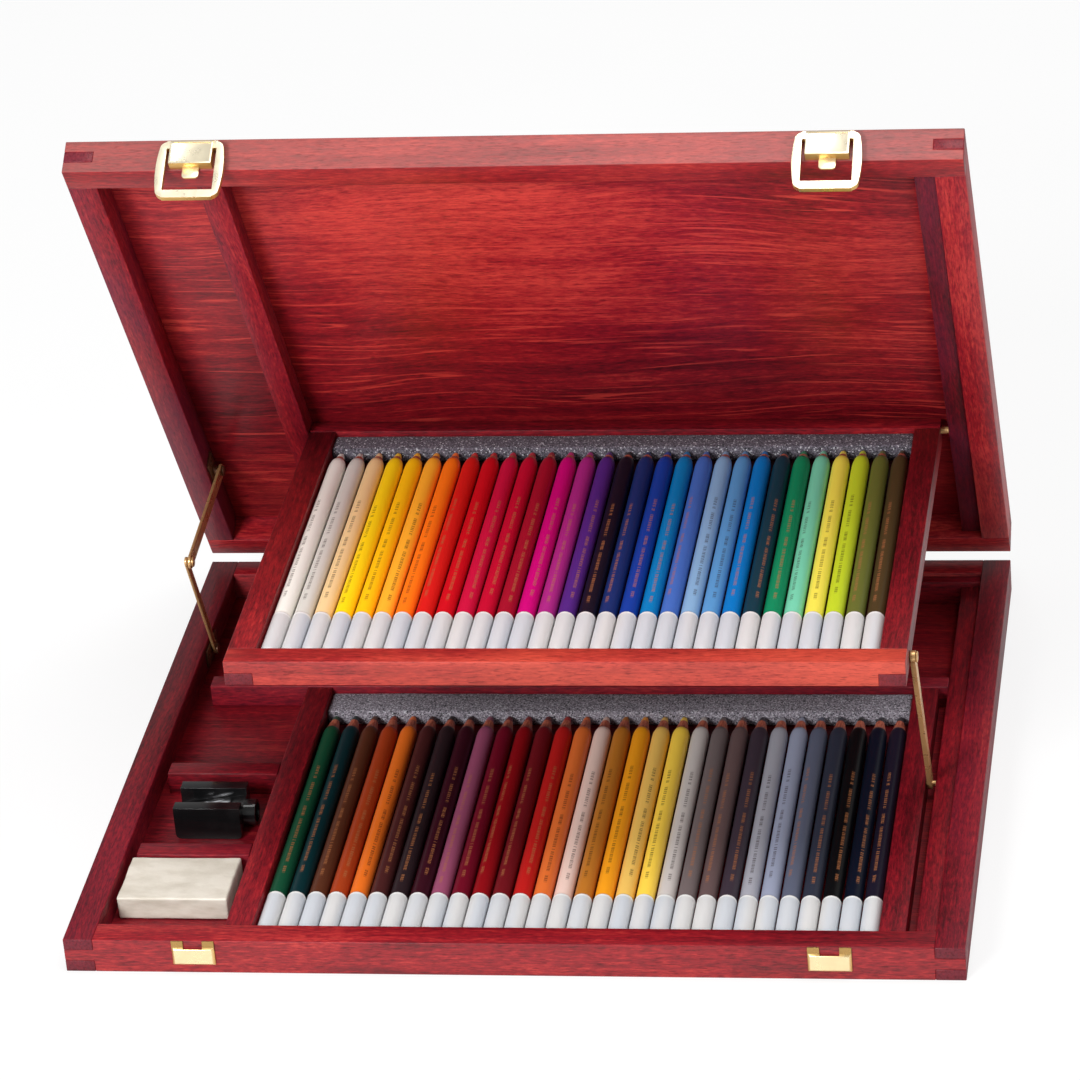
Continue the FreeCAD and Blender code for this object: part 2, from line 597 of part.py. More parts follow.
def back_screw(name, x, z):
    """A screw through a hinge leaf into the back wall, drawn round the axis."""
    head = rod_y(name + "_head", (x, "-hinge_setback + hinge_leaf_thickness", z),
                 "screw_head_radius", "screw_head_height")
    shank = rod_y(name + "_shank", (x, "-hinge_setback + hinge_leaf_thickness - screw_length", z),
                  "screw_radius", "screw_length")
    return joined(name, [head, shank])


SCREW_LINE = f"{LEAF_SCREW_SHARE} * hinge_leaf_height"
SCREW_XS = [f"{start} + {share} * hinge_length"
            for start in HINGE_STARTS.values() for share in LEAF_SCREW_SPREAD_SHARES]
case_screws = [back_screw(f"case_screw_{n}", x, f"-{SCREW_LINE}") for n, x in enumerate(SCREW_XS)]
lid_screws = [back_screw(f"lid_screw_{n}", x, SCREW_LINE) for n, x in enumerate(SCREW_XS)]
hinge_case_screws = group("hinge_case_screw_set", case_screws)
place(hinge_case_screws, "0", "hinge_y", "hinge_z")
finish(hinge_case_screws, "hinge_case_screws")
in_lid(finish(group("hinge_lid_screw_set", lid_screws), "hinge_lid_screws"))


# Brass arm that keeps the tray level, at its right side

def bar_link(name, left, length, width, thickness, near_hole, far_hole):
    """A flat bar in a plane across X, from its own origin towards -Y."""
    strip = block(name + "_strip", (left, f"-({length})", f"-({width}) / 2"),
                  (thickness, length, width))
    ends = [rod(name + "_near_end", (left, "0", "0"), f"({width}) / 2", thickness),
            rod(name + "_far_end", (left, f"-({length})", "0"), f"({width}) / 2", thickness)]
    holes = [rod(name + "_near_hole", (left, "0", "0"), near_hole, thickness),
             rod(name + "_far_hole", (left, f"-({length})", "0"), far_hole, thickness)]
    return without(name + "_cut", joined(name + "_shape", [strip] + ends),
                   joined(name + "_holes", holes))


arm = bar_link("arm", "arm_left", "arm_length", "arm_width", "arm_thickness",
               "arm_pin_radius + running_gap", "arm_pin_radius + open_pivot_gap")
turn(arm, X_AXIS, "-(lid_opening + arm_slope)")
place(arm, "0", "arm_pin_y", "arm_pin_z")
finish(arm, "tray_arm")
finish(rod("arm_pin_rod", ("slot_left - arm_pin_grip", "arm_pin_y", "arm_pin_z"),
           "arm_pin_radius", "arm_pin_grip + slot_width"), "tray_arm_pin")
rivet_shank = rod("rivet_shank", ("tray_right - arm_pin_grip", "rivet_y", "rivet_z"),
                  "arm_pin_radius",
                  "arm_pin_grip + arm_side_gap + arm_thickness + running_gap")
rivet_head = rod("rivet_head", ("arm_left + arm_thickness + running_gap", "rivet_y", "rivet_z"),
                 "rivet_head_radius", "rivet_head_height")
in_tray(finish(joined("rivet", [rivet_shank, rivet_head]), "tray_arm_rivet"))


# Brass stay between the left walls of case and lid

def stay_plate(name, y, z, pin_end):
    """Plate on the wall with the pin that the stay's bar turns on."""
    plate = block(name + "_flange", ("inner_left", f"{y} - stay_plate_length / 2",
                                     f"{z} - stay_plate_height / 2"),
                  ("stay_plate_thickness", "stay_plate_length", "stay_plate_height"))
    pin = rod(name + "_pin", ("inner_left", y, z), "stay_pin_radius", f"({pin_end}) - inner_left")
    head = rod(name + "_head", (pin_end, y, z), "rivet_head_radius", "rivet_head_height")
    return [plate, pin, head]


def stay_screws(name, y, z):
    """Two small screws through a stay plate into the wall."""
    screws = []
    for end, sign in (("front", "-"), ("back", "+")):
        screw_y = f"{y} {sign} (stay_plate_length / 2 - small_screw_inset)"
        head = rod(f"{name}_{end}_head", ("inner_left + stay_plate_thickness", screw_y, z),
                   "small_screw_head_radius", "small_screw_head_height")
        shank = rod(f"{name}_{end}_shank",
                    ("inner_left + stay_plate_thickness - screw_length", screw_y, z),
                    "small_screw_radius", "screw_length")
        screws.append(joined(f"{name}_{end}", [head, shank]))
    return screws


LOWER_PIN_END = "stay_lower_left + stay_thickness + running_gap"
UPPER_PIN_END = "stay_upper_left + stay_thickness + running_gap"
STAY_FOOT = ("hinge_y - stay_base_reach", "hinge_z - stay_offset")
finish(joined("stay_case_shape", stay_plate("stay_case", *STAY_FOOT, LOWER_PIN_END)),
       "stay_case_plate")
finish(group("stay_case_screw_set", stay_screws("stay_case_screw", *STAY_FOOT)),
       "stay_case_screws")
spacer = rod("stay_lid_spacer", ("inner_left + stay_plate_thickness", "-stay_lid_reach",
                                 "stay_offset"),
             "rivet_head_radius", "stay_upper_left - stay_gap - inner_left - stay_plate_thickness")
in_lid(finish(joined("stay_lid_shape", stay_plate("stay_lid", "-stay_lid_reach", "stay_offset",
                                                  UPPER_PIN_END) + [spacer]), "stay_lid_plate"))
in_lid(finish(group("stay_lid_screw_set",
                    stay_screws("stay_lid_screw", "-stay_lid_reach", "stay_offset")),
              "stay_lid_screws"))

lower_bar = bar_link("stay_lower", "stay_lower_left", "stay_lower_length", "stay_width",
                     "stay_thickness", "stay_pin_radius + running_gap", "stay_pin_radius")
elbow_pin = rod("elbow_pin", ("stay_lower_left", "-stay_lower_length", "0"), "stay_pin_radius",
                f"{UPPER_PIN_END} - stay_lower_left")
elbow_head = rod("elbow_head", (UPPER_PIN_END, "-stay_lower_length", "0"),
                 "rivet_head_radius", "rivet_head_height")
lower_stay = joined("stay_lower_set", [lower_bar, elbow_pin, elbow_head])
turn(lower_stay, X_AXIS, "-(lid_opening + stay_slope_lid)")
place(lower_stay, "0", "hinge_y - stay_base_reach", "hinge_z - stay_offset")
finish(lower_stay, "stay_lower_bar")

upper_bar = bar_link("stay_upper", "stay_upper_left", "stay_upper_length", "stay_lid_width",
                     "stay_thickness", "stay_pin_radius + running_gap",
                     "stay_pin_radius + open_pivot_gap")
turn(upper_bar, X_AXIS, "stay_slope_base")
place(upper_bar, "0", "open_stay_y", "open_stay_z")
finish(upper_bar, "stay_upper_bar")


# Clasps: hood and loop on the lid's front, catch on the case's front

LID_FACE = "front_face - hinge_y"


def clasp(side, x):
    hood_name = f"clasp_{side}_hood"
    shell = block(hood_name + "_shell", (f"{x} - hood_width / 2", f"{LID_FACE} - hood_depth",
                                         "hood_bottom"),
                  ("hood_width", "hood_depth", "hood_top - hood_bottom"))
    tongue = block(hood_name + "_tongue",
                   (f"{x} - tongue_width / 2", f"{LID_FACE} - tongue_gap - tongue_thickness",
                    "hood_bottom - tongue_length"),
                   ("tongue_width", "tongue_thickness", "tongue_length + hood_bottom"))
    prong = rod_y(hood_name + "_prong", (x, LID_FACE, "(hood_top + hood_bottom) / 2"),
                  "prong_radius", "prong_length")
    bore = rod(hood_name + "_bore", (f"{x} - hood_width / 2", f"{LID_FACE} - loop_pin_off",
                                     "loop_pin_rise"),
               "loop_pin_radius + running_gap", "hood_width")
    in_lid(finish(without(hood_name, joined(hood_name + "_shape", [shell, tongue, prong]), bore),
                  hood_name))

    loop_name = f"clasp_{side}_loop"
    reach = "loop_length"
    top_bar = rod(loop_name + "_bar", (f"{x} - loop_width / 2", "0", "0"),
                  "loop_pin_radius", "loop_width")
    parts = [top_bar]
    for end, corner in (("l", f"{x} - loop_width / 2"),
                        ("r", f"{x} + loop_width / 2 - loop_side")):
        parts.append(block(f"{loop_name}_side_{end}",
                           (corner, "-loop_thickness / 2", f"-({reach})"),
                           ("loop_side", "loop_thickness", reach)))
        parts.append(rod(f"{loop_name}_eye_{end}", (corner, "0", "0"),
                         "loop_thickness / 2", "loop_side"))
    parts.append(block(loop_name + "_foot", (f"{x} - loop_width / 2", "-loop_thickness / 2",
                                             f"-({reach})"),
                       ("loop_width", "loop_thickness", "loop_bar")))
    loop = joined(loop_name + "_shape", parts)
    turn(loop, X_AXIS, "-lid_opening")
    place(loop, "0",
          f"hinge_y + ({LID_FACE} - loop_pin_off) * turn_cos + loop_pin_rise * turn_sin",
          f"hinge_z - ({LID_FACE} - loop_pin_off) * turn_sin + loop_pin_rise * turn_cos")
    finish(loop, loop_name)

    catch_name = f"clasp_{side}_catch"
    top = "base_height - catch_top"
    plate = block(catch_name + "_plate", (f"{x} - catch_width / 2", "front_face - catch_thickness",
                                          "catch_low"),
                  ("catch_width", "catch_thickness", f"{top} - catch_low"))
    ears = [block(f"{catch_name}_ear_{end}", (corner, "front_face - catch_thickness", "catch_low"),
                  ("ear_width", "catch_thickness", "base_height - catch_low"))
            for end, corner in (("l", f"{x} - catch_width / 2"),
                                ("r", f"{x} + catch_width / 2 - ear_width"))]
    slot = block(catch_name + "_slot", (f"{x} - catch_width / 2 + ear_width",
                                        "front_face - catch_thickness",
                                        "base_height + hood_bottom - tongue_length"
                                        " - tongue_slot_gap"),
                 ("catch_width - 2 * ear_width", "catch_thickness", "tongue_length"))
    prong = rod_y(catch_name + "_prong", (x, "front_face", f"({top} + catch_low) / 2"),
                  "prong_radius", "prong_length")
    solid = without(catch_name + "_cut", joined(catch_name + "_shape", [plate] + ears), slot)
    finish(joined(catch_name, [solid, prong]), catch_name)


clasp("left", "-clasp_x")
clasp("right", "clasp_x")


# Eraser and sharpener in their bays

def eraser():
    body = doc.addObject("PartDesign::Body", "eraser_body")
    block_shape = body.newObject("PartDesign::AdditiveBox", "eraser_block")
    bind(block_shape, Length="eraser_length", Width="eraser_width", Height="eraser_height")
    doc.recompute()
    fillet = body.newObject("PartDesign::Fillet", "eraser_edges")
    edges = [f"Edge{n + 1}" for n in range(len(block_shape.Shape.Edges))]
    fillet.Base = (block_shape, edges)
    bind(fillet, Radius="eraser_round")
    body.Tip = fillet
    place(body, "inner_left + eraser_inset",
          "divider_front - eraser_back_gap - eraser_width", "bottom_top + seat_gap")
    return finish(body, "eraser")


def sharpener():
    """Two grip ears with a sloping seat for the blade between them."""
    solid = block("sharpener_block", ("0", "0", "0"),
                  ("sharpener_length", "sharpener_width", "sharpener_height"))
    boss = rod("sharpener_boss", ("sharpener_length", "sharpener_width / 2", "boss_rise"),
               "boss_radius", "boss_length")
    saddle = doc.addObject("Part::Box", "sharpener_saddle")
    turn(saddle, Y_AXIS, "-saddle_turn")
    bind(saddle, Length="2 * sharpener_length", Width="sharpener_width - 2 * ear_thickness",
         Height="sharpener_height")
    place(saddle, f"-{SADDLE_LEAD_SHARE} * sharpener_length", "ear_thickness",
          f"sharpener_height - saddle_depth - (1 + {SADDLE_LEAD_SHARE}) * saddle_fall")
    mouth = rod("sharpener_mouth", ("sharpener_length / 2", "sharpener_width / 2", "boss_rise"),
                "pencil_diameter / 2 + running_gap", "sharpener_length")
    screw_hole = doc.addObject("Part::Cylinder", "sharpener_screw_hole")
    turn(screw_hole, Y_AXIS, "-saddle_turn")
    bind(screw_hole, Radius="blade_shank_radius", Height="blade_screw_depth")
    seat_drop = "tan(saddle_turn * 1deg)"
    middle = f"{BLADE_SCREW_SHARE} * sharpener_length"
    seat = f"sharpener_height - saddle_depth - (sharpener_length - {middle}) * {seat_drop}"
    lean_sin = "sin(saddle_turn * 1deg)"
    lean_cos = "cos(saddle_turn * 1deg)"
    place(screw_hole, f"{middle} + blade_screw_depth * {lean_sin}", "sharpener_width / 2",
          f"{seat} - blade_screw_depth * {lean_cos}")
    seated = without("sharpener_seat", solid, saddle)
    body = without("sharpener_cut", joined("sharpener_shape", [seated, boss]),
                   joined("sharpener_tools", [mouth, screw_hole]))

    blade_blank = doc.addObject("Part::Box", "blade_blank")
    bind(blade_blank, Length="blade_length", Width="blade_width", Height="blade_thickness")
    place(blade_blank, "-blade_length / 2", "-blade_width / 2", "0")
    blade_hole = doc.addObject("Part::Cylinder", "blade_hole")
    bind(blade_hole, Radius="blade_shank_radius", Height="blade_thickness")
    blade = without("blade_cut", blade_blank, blade_hole)
    head = doc.addObject("Part::Cylinder", "blade_screw_head")
    bind(head, Radius="blade_screw_radius", Height="blade_screw_head")
    place(head, "0", "0", "blade_thickness")
    shank = doc.addObject("Part::Cylinder", "blade_screw_shank")
    bind(shank, Radius="blade_shank_radius",
         Height="blade_screw_depth + blade_thickness")
    place(shank, "0", "0", "-blade_screw_depth")
    screw = joined("blade_screw_shape", [head, shank])
    corner = ("inner_left + sharpener_inset",
              "divider_rear - sharpener_back_gap - sharpener_width", "bottom_top + seat_gap")
    for thing in (blade, screw):
        turn(thing, Y_AXIS, "-saddle_turn")
        place(thing, f"{corner[0]} + {middle}", f"{corner[1]} + sharpener_width / 2",
              f"{corner[2]} + {seat}")
    place(body, *corner)
    finish(body, "sharpener_body")
    finish(blade, "sharpener_blade")
    finish(screw, "sharpener_screw")


eraser()
sharpener()

doc.recompute()
failed = [o.Name for o in doc.Objects if "Invalid" in o.State or "Error" in o.State]
if failed:
    raise RuntimeError("failed objects: " + ", ".join(failed))
for piece in FINISHED:
    shape = piece.Shape
    if shape.isNull() or not shape.isValid() or not shape.Solids:
        raise RuntimeError("bad shape: " + piece.Label)

os.makedirs("parts", exist_ok=True)
for piece in FINISHED:
    piece.Shape.exportStep(f"parts/{piece.Label}.step")
print(len(FINISHED), "pieces written")
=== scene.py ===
"""Dresses the open pencil case: stained boards, brass fittings, sixty pencils and a pale studio.

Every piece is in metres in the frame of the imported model: +X to the right along
the case's front, +Y from the clasps to the hinges, +Z up.
"""

import json
import math
import random

import bmesh
import bpy
from mathutils import Matrix, Vector, noise


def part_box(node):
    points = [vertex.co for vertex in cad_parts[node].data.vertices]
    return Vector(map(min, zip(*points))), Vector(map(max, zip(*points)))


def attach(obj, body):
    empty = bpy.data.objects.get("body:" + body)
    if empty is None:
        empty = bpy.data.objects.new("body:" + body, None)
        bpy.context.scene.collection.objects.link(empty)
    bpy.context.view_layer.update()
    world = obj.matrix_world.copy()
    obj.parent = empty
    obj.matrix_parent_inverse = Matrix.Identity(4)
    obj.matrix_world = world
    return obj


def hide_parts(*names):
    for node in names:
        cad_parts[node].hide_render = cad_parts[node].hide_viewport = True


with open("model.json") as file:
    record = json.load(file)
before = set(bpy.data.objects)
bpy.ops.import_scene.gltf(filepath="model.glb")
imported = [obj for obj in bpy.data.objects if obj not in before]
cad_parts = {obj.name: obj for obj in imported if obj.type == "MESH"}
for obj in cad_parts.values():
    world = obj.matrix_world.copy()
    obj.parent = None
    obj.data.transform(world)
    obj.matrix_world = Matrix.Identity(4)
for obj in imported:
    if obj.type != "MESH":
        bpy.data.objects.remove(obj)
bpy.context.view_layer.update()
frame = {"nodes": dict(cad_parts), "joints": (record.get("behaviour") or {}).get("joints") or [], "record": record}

bl_info = {
    "name": "Pencil case",
    "version": (1, 0, 0),
    "blender": (4, 5, 0),
    "location": "3D View > Sidebar > Pencil case",
    "description": "Boards, fittings and contents of an open pencil case",
    "category": "Add Mesh",
}

# Vertices closer than the weld are one, and flatter angles than the curve shade smooth

MM = 0.001
WELD = 0.002 * MM
CURVED = math.radians(40)
SENSOR_WIDTH = 36.0
JOINTS = {joint["name"]: joint for joint in frame["joints"]}
HINGE = Vector(JOINTS["lid_hinge"]["pos_m"])
OPENING = math.radians(-JOINTS["lid_hinge"]["range_deg"][0])
CLOSE_LID = (Matrix.Translation(HINGE) @ Matrix.Rotation(OPENING, 4, "X")
             @ Matrix.Translation(-HINGE))
OPEN_LID = CLOSE_LID.inverted()
BODIES = frame["record"]["behaviour"]["bodies"]
BODY_OF = {node: body for body, nodes in BODIES.items() for node in nodes}


def srgb(red, green, blue):
    """A colour given on a 0 to 255 scale, as the shaders' linear values."""
    def linear(level):
        share = level / 255
        return share / 12.92 if share <= 0.04045 else ((share + 0.055) / 1.055) ** 2.4
    return (linear(red), linear(green), linear(blue), 1.0)


def colour_setting(name, description, *levels):
    """A colour property, from levels of 0 to 255."""
    return bpy.props.FloatVectorProperty(name=name, description=description, size=4,
                                         subtype="COLOR", default=srgb(*levels))


def length_setting(name, description, millimetres):
    """A length property, from millimetres."""
    return bpy.props.FloatProperty(name=name, description=description, subtype="DISTANCE",
                                   default=millimetres * MM)


def point_setting(name, *millimetres):
    """A property for a row's sharpened ends, from millimetres."""
    return bpy.props.FloatVectorProperty(
        name=name, subtype="XYZ", unit="LENGTH",
        description="Lacquered shoulder, bare wood, and radius where the lacquer ends",
        default=tuple(length * MM for length in millimetres))


# Lacquer colours of the two rows, left to right, in levels of 0 to 255

TRAY_ROW = (
    ("white", 238, 237, 228), ("silver grey", 211, 209, 201), ("buff", 240, 206, 150),
    ("bright yellow", 255, 216, 24), ("golden yellow", 255, 196, 20), ("amber", 255, 178, 48),
    ("orange", 255, 122, 24), ("vermilion", 212, 30, 26), ("scarlet", 202, 16, 30),
    ("carmine", 198, 20, 62), ("crimson", 190, 14, 48), ("dark crimson", 158, 18, 42),
    ("magenta", 200, 10, 118), ("orchid", 165, 40, 128), ("violet", 80, 38, 126),
    ("black violet", 22, 20, 34), ("night blue", 24, 46, 104), ("royal blue", 18, 60, 154),
    ("cerulean", 0, 120, 184), ("periwinkle", 66, 106, 186), ("pale blue", 130, 170, 208),
    ("sky blue", 86, 148, 202), ("azure", 0, 116, 192), ("deep teal", 16, 56, 70),
    ("green", 10, 134, 90), ("mint", 116, 206, 172), ("lemon", 238, 224, 84),
    ("lime", 188, 208, 44), ("olive", 98, 104, 46), ("olive brown", 72, 58, 34),
)
# Painted light: straw, sand, ochre, copper and shell pink in the case row are lighter than their lacquer, to lift
# the shade that the tray casts on them
CASE_ROW = (
    ("leaf green", 20, 74, 50), ("dark teal", 10, 44, 48), ("brown", 86, 46, 30),
    ("rust", 162, 60, 26), ("light orange", 228, 110, 34), ("chestnut", 70, 32, 32),
    ("umber", 42, 30, 34), ("aubergine", 54, 16, 28), ("old rose", 148, 74, 104),
    ("burgundy", 108, 14, 34), ("deep red", 138, 14, 22), ("maroon", 108, 20, 28),
    ("brick red", 184, 30, 28), ("copper", 222, 110, 50), ("shell pink", 230, 198, 186),
    ("ochre brown", 184, 114, 40), ("ochre", 240, 156, 30), ("sand", 236, 190, 96),
    ("straw", 250, 210, 78), ("warm grey", 198, 190, 186), ("dark warm grey", 110, 98, 98),
    ("mauve grey", 100, 80, 80), ("plum grey", 60, 50, 60), ("cool grey", 160, 160, 170),
    ("blue grey", 148, 154, 176), ("slate", 90, 95, 114), ("dark slate", 46, 50, 64),
    ("black", 12, 13, 15), ("blue black", 13, 19, 34), ("dark violet", 27, 23, 38),
)


# Painted pools of light and shade on the lid's veneer, from the hinge line: x, y, radius
# and strength, and the share of x, y and z in a pool's reach

VENEER_LIGHT_POOLS = (
    (-0.052, -0.250, 0.100, 0.11), (0.125, -0.225, 0.080, 0.10), (0.020, -0.280, 0.060, 0.04),
    (0.060, -0.120, 0.110, -0.05), (-0.110, -0.130, 0.090, -0.04), (0.000, -0.040, 0.120, 0.05),
)
POOL_SHAPE = (0.62, 1.0, 0.0)


class CaseWoodSettings(bpy.types.PropertyGroup):
    """Colours and edges of the stained boards."""

    dark: colour_setting("Dark grain", "Stain in the open grain", 58, 6, 13)
    middle: colour_setting("Stain", "The stain's main colour", 107, 11, 24)
    bright: colour_setting("Bright grain", "Stain on the hard grain", 141, 20, 30)
    fleck: colour_setting("Flecks", "Short pale streaks in the wood", 190, 57, 50)
    # Painted sheen: the pale colour laid on faces along the front and the back, a painted reflection of the bright
    # surroundings
    sheen_colour: colour_setting("Bloom", "Pale worn varnish on the front faces", 168, 128, 122)
    shade: colour_setting("Cool stain", "Purple cast on some boards", 80, 24, 50)
    amber: colour_setting("Warm stain", "Orange cast on some boards", 214, 92, 60)
    end_grain: colour_setting("End grain", "Finger ends, which soak up more stain", 98, 38, 48)
    edge: length_setting("Eased edge", "Width of the sanded edges", 0.35)


class CasePencilSettings(bpy.types.PropertyGroup):
    """Shape of one pencil beside what the model gives."""

    dip: length_setting("Dipped end", "Length of the white end", 31.0)
    tray_cut: point_setting("Tray row's points", 6.5, 3.8, 3.1)
    case_cut: point_setting("Case row's points", 4.0, 7.4, 3.2)
    lead: length_setting("Lead", "Lead beyond the wood", 4.6)
    lead_radius: length_setting("Lead radius", "Lead where it leaves the wood", 1.85)
    point_radius: length_setting("Point radius", "Blunt tip", 1.1)
    sides: bpy.props.IntProperty(
        name="Sides", description="Faces round one barrel", default=24)


class CaseBrassSettings(bpy.types.PropertyGroup):
    """Sizes of the clasps and screws beside what the model gives."""

    colour: colour_setting("Brass", "Pale plated brass", 250, 238, 208)
    catch: colour_setting("Catch's brass", "Yellower brass of the catches", 232, 214, 168)
    # Painted reflection: deeper brass on the rounded edges and on faces turned from the front, standing for the
    # dark surroundings they mirror
    edge: colour_setting("Worn edges", "Deeper brass on the rounded edges", 206, 164, 92)
    # Painted shade: darker brass for the catches' ears, which sit back behind the plate
    shaded: colour_setting("Inner brass", "Duller brass of the ears and plates", 168, 134, 78)
    loop_rim: length_setting("Loop's rim", "Width of the loop's frame", 3.6)
    loop_corner: length_setting("Loop's corners", "Outer rounding of the loop", 4.6)
    hood_height: length_setting("Hood", "Height of the hood without its tongue", 12.0)
    hood_round: length_setting("Hood's round", "Rounding of the hood's upper edge", 2.6)
    hood_rim: length_setting("Hood's rim", "Raised rim round the hood's face", 0.9)
    hood_hollow: length_setting("Hood's hollow", "Depth of the hood's face in its rim", 0.3)
    tongue_width: length_setting("Tongue", "Width of the tongue below the hood", 6.8)
    tongue_gap: length_setting("Tongue's gap", "Tongue from the wood", 0.3)
    tongue_round: length_setting("Tongue's end", "Rounding of the tongue's end", 1.5)
    tongue_thickness: length_setting("Tongue's thickness", "Thickness of the tongue", 0.8)
    catch_depth: length_setting("Catch", "Depth of the catch on the wood", 1.6)
    catch_ledge: length_setting("Catch's ledge", "Catch's plate below its ears", 2.5)
    catch_bevel: length_setting("Catch's bevel", "Sloping edges of the catch's plate", 1.1)
    slot_depth: length_setting("Slot", "Depth of the tongue's slot behind the catch's plate", 1.7)
    slot_skin: length_setting("Slot's skin", "Brass left in front of the tongue's slot", 0.3)
    ear_width: length_setting("Ears", "Width of the catch's ears", 4.8)
    ear_thickness: length_setting("Ears' thickness", "Thickness of the catch's ears", 0.7)


# Lamps by name, place, size in metres and power in watts, then the sky and the floor's glow

LAMPS = (
    ("key_lamp", (-0.9, -2.1, 1.3), 0.7, 58.0), ("fill_lamp", (1.7, -1.3, 1.2), 1.6, 8.0),
    ("top_lamp", (0.4, 0.0, 2.2), 1.3, 27.0),
)
SKY_LIGHT = 0.42
FLOOR_GLOW = 0.78


class CaseStageSettings(bpy.types.PropertyGroup):
    """Camera and studio."""

    azimuth: bpy.props.FloatProperty(
        name="Azimuth", description="Camera round the case", subtype="ANGLE",
        default=math.radians(10.26))
    elevation: bpy.props.FloatProperty(
        name="Elevation", description="Camera above the floor", subtype="ANGLE",
        default=math.radians(28.27))
    roll: bpy.props.FloatProperty(
        name="Roll", description="Camera about its own axis", subtype="ANGLE",
        default=math.radians(-5.06))
    distance: bpy.props.FloatProperty(
        name="Distance", description="Camera from its target", subtype="DISTANCE",
        default=2.306)
    target: bpy.props.FloatVectorProperty(
        name="Target", description="What the camera looks at", subtype="TRANSLATION",
        default=(-0.0339, 0.1817, 0.0115))
    lens: bpy.props.FloatProperty(
        name="Lens", description="Focal length on a 36 mm frame", default=170.0)


class Value:
    """A shader's value. Sums and products of values add Math nodes."""

    def __init__(self, shader, socket):
        self.shader = shader
        self.socket = socket

    def math(self, operation, *others):
        return self.shader.node("ShaderNodeMath", {"operation": operation},
                                dict(enumerate((self,) + others)))

    def __add__(self, other):
        return self.math("ADD", other)

    def __sub__(self, other):
        return self.math("SUBTRACT", other)

    def __mul__(self, other):
        return self.math("MULTIPLY", other)

    def __rsub__(self, other):
        return self.shader.node("ShaderNodeMath", {"operation": "SUBTRACT"}, {0: other, 1: self})

    __radd__ = __add__
    __rmul__ = __mul__


def socket_name(word):
    """The surface socket that a keyword such as coat_weight means."""
    return word.replace("_", " ").title().replace("Ior", "IOR")


class Shader:
    """A material whose nodes are written as expressions."""

    def __init__(self, name, **constants):
        self.material = bpy.data.materials.new(name)
        self.material.use_nodes = True
        self.tree = self.material.node_tree
        self.surface = self.tree.nodes["Principled BSDF"]
        for socket, value in constants.items():
            self.surface.inputs[socket_name(socket)].default_value = value

    def node(self, kind, settings=None, inputs=None, output=0):
        made = self.tree.nodes.new(kind)
        for key, value in (settings or {}).items():
            if key == "stops":
                ramp = made.color_ramp
                while len(ramp.elements) < len(value):
                    ramp.elements.new(1.0)
                for element, (position, colour) in zip(ramp.elements, value):
                    element.position = position
                    element.color = colour
            else:
                setattr(made, key, value)
        for key, value in (inputs or {}).items():
            if isinstance(value, Value):
                self.tree.links.new(value.socket, made.inputs[key])
            else:
                made.inputs[key].default_value = value
        return Value(self, made.outputs[output])

    def set(self, **links):
        """Link values to the surface's own sockets."""
        for socket, value in links.items():
            self.tree.links.new(value.socket, self.surface.inputs[socket_name(socket)])
        return self.material

    def place(self):
        return self.node("ShaderNodeTexCoord", output="Object")

    def facing(self, axis):
        """How squarely a face looks along an axis of the piece, 0 to 1."""
        normal = self.node("ShaderNodeTexCoord", output="Normal")
        return self.vector("DOT_PRODUCT", normal, axis, output="Value").math("ABSOLUTE")

    def vector(self, operation, *inputs, output="Vector"):
        return self.node("ShaderNodeVectorMath", {"operation": operation},
                         dict(enumerate(inputs)), output)

    def stretch(self, place, scale, shift=(0, 0, 0), turn=(0, 0, 0)):
        return self.node("ShaderNodeMapping", {"vector_type": "POINT"},
                         {"Vector": place, "Scale": scale, "Location": shift, "Rotation": turn})

    def noise(self, place, detail, roughness=0.5, scale=1.0):
        return self.node("ShaderNodeTexNoise", None, {"Vector": place, "Scale": scale,
                                                      "Detail": detail, "Roughness": roughness})

    def range(self, value, low, high, start=0.0, end=1.0):
        return self.node("ShaderNodeMapRange", {"interpolation_type": "SMOOTHSTEP"},
                         {"Value": value, "From Min": low, "From Max": high,
                          "To Min": start, "To Max": end})

    def mix(self, share, first, second):
        return self.node("ShaderNodeMix", {"data_type": "RGBA"},
                         {0: share, 6: first, 7: second}, output=2)

    def ramp(self, value, *stops):
        return self.node("ShaderNodeValToRGB", {"stops": stops}, {"Fac": value})

    def bump(self, height, distance, strength):
        return self.node("ShaderNodeBump", None,
                         {"Height": height, "Distance": distance, "Strength": strength})


# Wood: the lid's grain, and noise cells per metre along, across and through the grain

GRAIN = {
    "drift": (5, 7, 7), "streak": (7, 170, 170), "speck": (210, 1000, 1000),
    "fine": (60, 1500, 1500), "cloud": (9, 17, 17), "pores": (230, 2300, 2300),
    "bands": (4, 90, 90), "gate": (14, 240, 240), "rings": (700, 900, 900),
}
LID_GRAIN = OPEN_LID.to_3x3() @ Vector((0, 1, 0))


